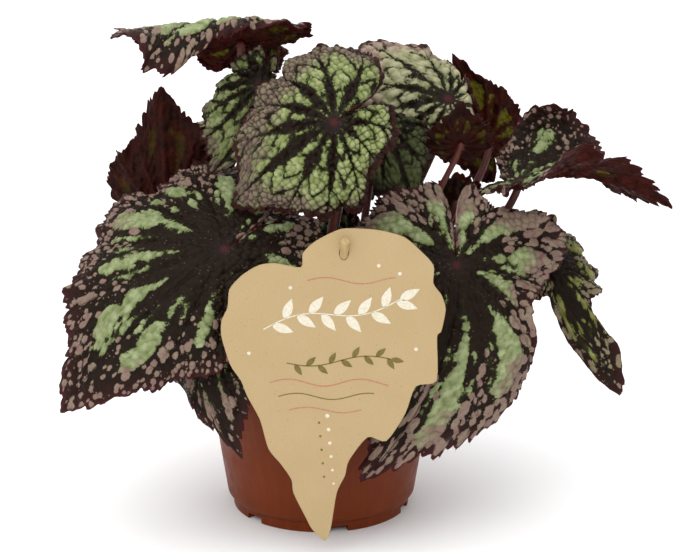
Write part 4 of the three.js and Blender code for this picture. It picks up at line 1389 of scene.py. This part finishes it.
def leaf_top_material(name, green, pale, mauve, painted_crease_shade, painted_mauve_crease_shade, side_vein):
    """Upper face: dark ground, green patches, mauve spots and border, maroon margin."""
    green, pale, mauve = rgb(*green), rgb(*pale), rgb(*mauve)
    g = Graph(name, Specular_IOR_Level=0.1)
    flat = g.vector("flat")
    share, main, border = g.field("share"), g.field("main"), g.field("border")
    in_mauve = g.field("mauve")
    ragged = g.ragged(flat, 0.9, 2.4)
    patch = g.plus(g.field("patch"), ragged)
    spot = g.plus(g.field("spot"), g.times(ragged, 0.45))

    # the ground has a red-brown border and a green halo round some of the patches
    ground = g.mix(g.noise(flat, 9), rgb(19, 11, 4), rgb(36, 23, 11))
    ground = g.mix(g.step(share, 0.8, 1.0, 0, 0.75), ground, rgb(56, 24, 23))
    glow = g.step(g.noise(flat, 10), 0.42, 0.62, 0.1, 0.6)
    halo = g.times(g.step(patch, -1.5, -0.1), glow)
    ground = g.mix(halo, ground, rgb(52, 60, 22))

    # the patches are mottled and greener at their rims, with painted shade in the creases between
    # domes
    tone = g.step(g.noise(flat, 5, 3), 0.3, 0.7)
    dusky = g.mix(tone, mauve, blend(mauve, pale, 0.25))
    mottled = g.step(g.noise(flat, 1.4, 4, 0.7), 0.52, 0.7, 0, 0.45)
    dusky = g.mix(mottled, dusky, rgb(60, 38, 36))
    leafy = g.mix(g.step(patch, 0, 1.6, 0.45, 0), g.mix(tone, green, pale), rgb(82, 98, 40))
    filling = g.mix(in_mauve, leafy, dusky)
    # painted shade: darker away from each dome's middle, towards the creases
    low = g.step(g.field("middle"), 0.25, 0.85, 0, 0.3 + 0.35 * painted_crease_shade)
    filling = g.mix(low, filling, rgb(62, 66, 32))
    # painted shade: dark lines in the creases between the domes, broader on the mauve
    fine_painted_crease = g.step(border, 0.02, 0.26, 1, 0)
    broad_painted_crease = g.step(border, 0.1, 0.26 + 0.3 * painted_mauve_crease_shade, 1, 0)
    depth = g.mix(in_mauve, grey(painted_crease_shade), grey(painted_mauve_crease_shade))
    line = g.times(g.mix(in_mauve, fine_painted_crease, broad_painted_crease), depth)
    filling = g.mix(line, filling, rgb(26, 22, 12))
    side_line = g.step(g.field("side"), 0.1, 0.75, side_vein, 0)
    filling = g.mix(side_line, filling, rgb(24, 18, 10))

    # tiny mauve dots lie between the spots
    tiny = g.step(g.cell_distance(flat, 2.1), 0.14, 0.22, 1, 0)
    tiny = g.times(tiny, g.step(g.noise(flat, 12), 0.46, 0.54))
    tiny = g.times(tiny, g.step(share, 0.3, 0.6, 0.25, 0.8))
    shown = g.mix(g.step(patch, -0.25, 0.3), ground, filling)
    shown = g.mix(g.step(spot, -0.2, 0.25), shown, dusky)
    shown = g.mix(tiny, shown, dusky)

    # dark main veins, a red star where they meet, and the maroon margin
    star = g.times(g.step(g.field("radius"), 0.8, 4, 0.6, 0), g.step(main, 0.1, 0.5, 1, 0))
    shown = g.mix(g.step(main, 0.15, 0.6, 0.85, 0), shown, rgb(36, 24, 26))
    shown = g.mix(star, shown, rgb(84, 28, 30))
    shown = g.mix(g.step(share, 0.972, 0.995, 0, 0.85), shown, rgb(70, 24, 28))
    # painted shade and tone: the whole leaf darkened by its shade value
    shown = g.mix(g.field("shade"), shown, rgb(14, 8, 4))
    relief = g.noise(flat, 0.5, 3, 0.6)
    return g.finish(shown, g.noise(flat, 2.5), 0.42, 0.6, relief, strength=0.35, depth=0.25)


def leaf_under_material(name):
    """Under face: dark red-brown, with yellow-green streaks between the veins in places, painted
    light that shines through the leaf.
    """
    g = Graph(name, Specular_IOR_Level=0.07)
    flat = g.vector("flat")
    ragged = g.ragged(flat, 2, 4.0)
    patch = g.plus(g.field("patch"), ragged)
    spot = g.plus(g.field("spot"), g.times(ragged, 0.3))
    shown = g.mix(g.step(g.noise(flat, 7, 3), 0.3, 0.7), rgb(34, 9, 5), rgb(70, 20, 11))
    # painted light: yellow-green streaks where light shining through the leaf from behind is
    # painted on
    showing = g.step(g.noise(flat, 15), 0.42, 0.56, 0.08, 0.85)
    backlit_streak = g.times(g.times(g.step(patch, -0.6, 1.8), showing), g.field("streaks"))
    shown = g.mix(backlit_streak, shown, rgb(112, 106, 26))
    shown = g.mix(g.step(spot, -0.4, 0.8, 0, 0.18), shown, rgb(98, 56, 32))
    shown = g.mix(g.step(g.field("border"), 0.02, 0.26, 0.6, 0), shown, rgb(34, 10, 8))
    shown = g.mix(g.step(g.field("main"), 0.25, 1.0, 0.35, 0), shown, rgb(70, 22, 17))
    shown = g.mix(g.step(g.field("share"), 0.9, 1.0, 0, 0.8), shown, rgb(54, 14, 14))
    # painted shade and tone: the whole leaf darkened by its shade value
    shown = g.mix(g.field("shade"), shown, rgb(14, 8, 4))
    relief = g.noise(flat, 0.6, 3, 0.6)
    return g.finish(shown, g.noise(flat, 3), 0.45, 0.62, relief, strength=0.3, depth=0.25)


def hair_material(name, colour, other):
    """Fine hairs or fibres, their colour between the two given."""
    g = Graph(name, Specular_IOR_Level=0.3)
    place = g.object_place()
    shown = g.mix(g.noise(place, 3), rgb(*colour), rgb(*other))
    return g.finish(shown, g.noise(place, 5), 0.45, 0.6)


def stalk_material():
    """Dark red skin, streaked along the stalk and with pale specks."""
    g = Graph("stalk_skin", Specular_IOR_Level=0.4)
    place = g.object_place()
    drawn = g.stretched(place, (1, 1, 0.15))
    shown = g.mix(g.noise(drawn, 1.2, 3), rgb(62, 17, 13), rgb(98, 32, 22))
    specks = g.step(g.cell_distance(place, 2.6), 0.12, 0.24, 0.4, 0)
    shown = g.mix(specks, shown, rgb(120, 72, 46))
    relief = g.noise(drawn, 0.8, 3)
    return g.finish(shown, g.noise(place, 3), 0.4, 0.6, relief, strength=0.4, depth=0.3)


def pot_material():
    """Matt red-brown plastic with faint upright streaks and specks."""
    g = Graph("pot_plastic", Specular_IOR_Level=0.15)
    place = g.object_place()
    shown = g.mix(g.noise(place, 26, 3), rgb(102, 39, 7), rgb(118, 48, 10))
    streaks = g.noise(g.stretched(place, (1, 1, 0.06)), 3, 3, 0.6)
    shown = g.mix(g.step(streaks, 0.45, 0.75, 0, 0.2), shown, rgb(140, 70, 30))
    specks = g.step(g.cell_distance(place, 2.4), 0.05, 0.12, 0.5, 0)
    shown = g.mix(specks, shown, rgb(80, 36, 18))
    relief = g.noise(place, 0.7, 4, 0.6)
    return g.finish(shown, g.noise(place, 7, 3), 0.4, 0.55, relief, strength=0.25, depth=0.12)


def soil_material():
    """Dark brown peat, darker in some places than in others."""
    g = Graph("peat", Specular_IOR_Level=0.15)
    place = g.object_place()
    grains = g.step(g.noise(place, 1.6, 4, 0.7), 0.3, 0.7)
    shown = g.mix(grains, rgb(34, 24, 18), rgb(84, 62, 46))
    shown = g.mix(g.step(g.noise(place, 9), 0.5, 0.8, 0, 0.5), shown, rgb(58, 40, 28))
    relief = g.noise(place, 0.6, 5, 0.7)
    return g.finish(shown, g.noise(place, 3), 0.8, 0.97, relief, strength=0.8, depth=0.6)


def rhizome_material():
    """Brown bark with reddish parts, its scars running round the stem."""
    g = Graph("rhizome_skin", Specular_IOR_Level=0.3)
    place = g.object_place()
    drawn = g.stretched(place, (1, 0.3, 0.3))
    scars = g.step(g.noise(drawn, 1.6, 4, 0.65), 0.3, 0.7)
    shown = g.mix(scars, rgb(70, 44, 30), rgb(128, 92, 60))
    shown = g.mix(g.step(g.noise(place, 6), 0.55, 0.7, 0, 0.5), shown, rgb(120, 60, 44))
    relief = g.noise(drawn, 0.9, 4, 0.7)
    return g.finish(shown, g.noise(place, 2), 0.55, 0.8, relief, strength=0.7, depth=0.6)


def card_material():
    """Kraft card with darker pulp and brown flecks."""
    g = Graph("kraft", Specular_IOR_Level=0.25)
    place = g.object_place()
    shown = g.mix(g.noise(place, 18, 3), rgb(190, 165, 121), rgb(200, 175, 133))
    pulp = g.noise(g.stretched(place, (1, 1, 2.5)), 0.9, 4, 0.7)
    shown = g.mix(g.step(pulp, 0.35, 0.75, 0, 0.45), shown, rgb(172, 144, 100))
    flecks = g.step(g.cell_distance(place, 3.6), 0.05, 0.1, 0.5, 0)
    shown = g.mix(flecks, shown, rgb(138, 106, 66))
    return g.finish(shown, pulp, 0.7, 0.85, pulp, strength=0.2, depth=0.1)


def ink_material(name, worn, full):
    """Printed ink, thinner in places."""
    g = Graph(name, Specular_IOR_Level=0.2)
    place = g.object_place()
    shown = g.mix(g.step(g.noise(place, 1.1, 4, 0.7), 0.35, 0.6), worn, full)
    return g.finish(shown, g.noise(place, 3), 0.6, 0.8)


def stick_material():
    """Bare pale wood, its grain running along the stick."""
    g = Graph("bare_wood", Specular_IOR_Level=0.25)
    place = g.object_place()
    drawn = g.stretched(place, (1, 0.1, 0.08))
    grain = g.step(g.noise(drawn, 0.7, 4, 0.65), 0.3, 0.7)
    shown = g.mix(grain, rgb(176, 148, 98), rgb(196, 172, 124))
    shown = g.mix(g.step(g.noise(place, 14), 0.5, 0.8, 0, 0.4), shown, rgb(160, 130, 82))
    relief = g.noise(drawn, 0.5, 4)
    return g.finish(shown, g.noise(place, 2), 0.6, 0.75, relief, strength=0.3, depth=0.15)


# Stage


def floor_material():
    g = Graph("studio_floor", Specular_IOR_Level=0.1)
    place = g.object_place()
    shown = g.mix(g.noise(place, 300), rgb(250, 250, 250, 1), rgb(254, 254, 254, 1))
    return g.finish(shown, g.noise(place, 100), 0.85, 0.95)


def area_light(name, place, power, size):
    """A square light that faces the plant."""
    light = bpy.data.lights.new(name, "AREA")
    light.energy, light.size = power, size
    thing = add_object(name, light)
    thing.location = place
    target = Vector(CAMERA_TARGET) * MM
    thing.rotation_euler = (Vector(place) - target).to_track_quat("Z", "Y").to_euler()


def make_stage():
    mesh = bpy.data.meshes.new("floor")
    corners = [(-1, -1), (1, -1), (1, 1), (-1, 1)]
    mesh.from_pydata([(FLOOR_HALF * x, FLOOR_HALF * y, 0) for x, y in corners], [], [range(4)])
    mesh.materials.append(floor_material())
    floor = add_object("floor", mesh)

    world = bpy.data.worlds.new("studio")
    world.use_nodes = True
    background = world.node_tree.nodes["Background"]
    background.inputs["Color"].default_value = (1, 1, 1, 1)
    background.inputs["Strength"].default_value = SKY_STRENGTH
    bpy.context.scene.world = world
    for name, (place, power, size) in LIGHTS.items():
        area_light(name, place, power, size)


def make_camera():
    """Looks at the plant from the photograph's side and height."""
    camera = bpy.data.cameras.new("camera")
    camera.sensor_width = CAMERA_SENSOR
    camera.lens = CAMERA_LENS
    camera.clip_start, camera.clip_end = CAMERA_CLIP
    thing = add_object("camera", camera)
    tilt = math.radians(CAMERA_ELEVATION)
    back = Vector((0, -math.cos(tilt), math.sin(tilt)))
    thing.location = (Vector(CAMERA_TARGET) + back * CAMERA_DISTANCE) * MM
    thing.rotation_euler = back.to_track_quat("Z", "Y").to_euler()
    bpy.context.scene.camera = thing
    bpy.context.scene.view_settings.view_transform = "Standard"


def main():
    make_camera()
    make_stage()

    tops = {name: leaf_top_material(f"{name}_leaf", *skin) for name, skin in SKINS.items()}
    under = leaf_under_material("leaf_underside")
    margin_hair = hair_material("margin_hair", (92, 30, 30), (140, 70, 60))
    stalk_hair = hair_material("stalk_hair", (110, 50, 40), (150, 96, 76))
    stalk_skin = stalk_material()
    for number, (name, values) in enumerate(LEAVES.items()):
        leaf = {"name": name, **PLAIN_LEAF, **values}
        seed = 11 + 17 * number
        top = tops[leaf["skin"] or leaf["style"]]
        make_leaf(leaf, seed, [top, under, margin_hair])
        make_stalk(leaf, seed, [stalk_skin, stalk_hair])

    make_pot(pot_material())
    fibre = hair_material("peat_fibre", (96, 70, 46), (140, 108, 74))
    make_soil([soil_material(), fibre])
    make_rhizome(rhizome_material())
    make_label(card_material(), stick_material())
    make_prints()


main()
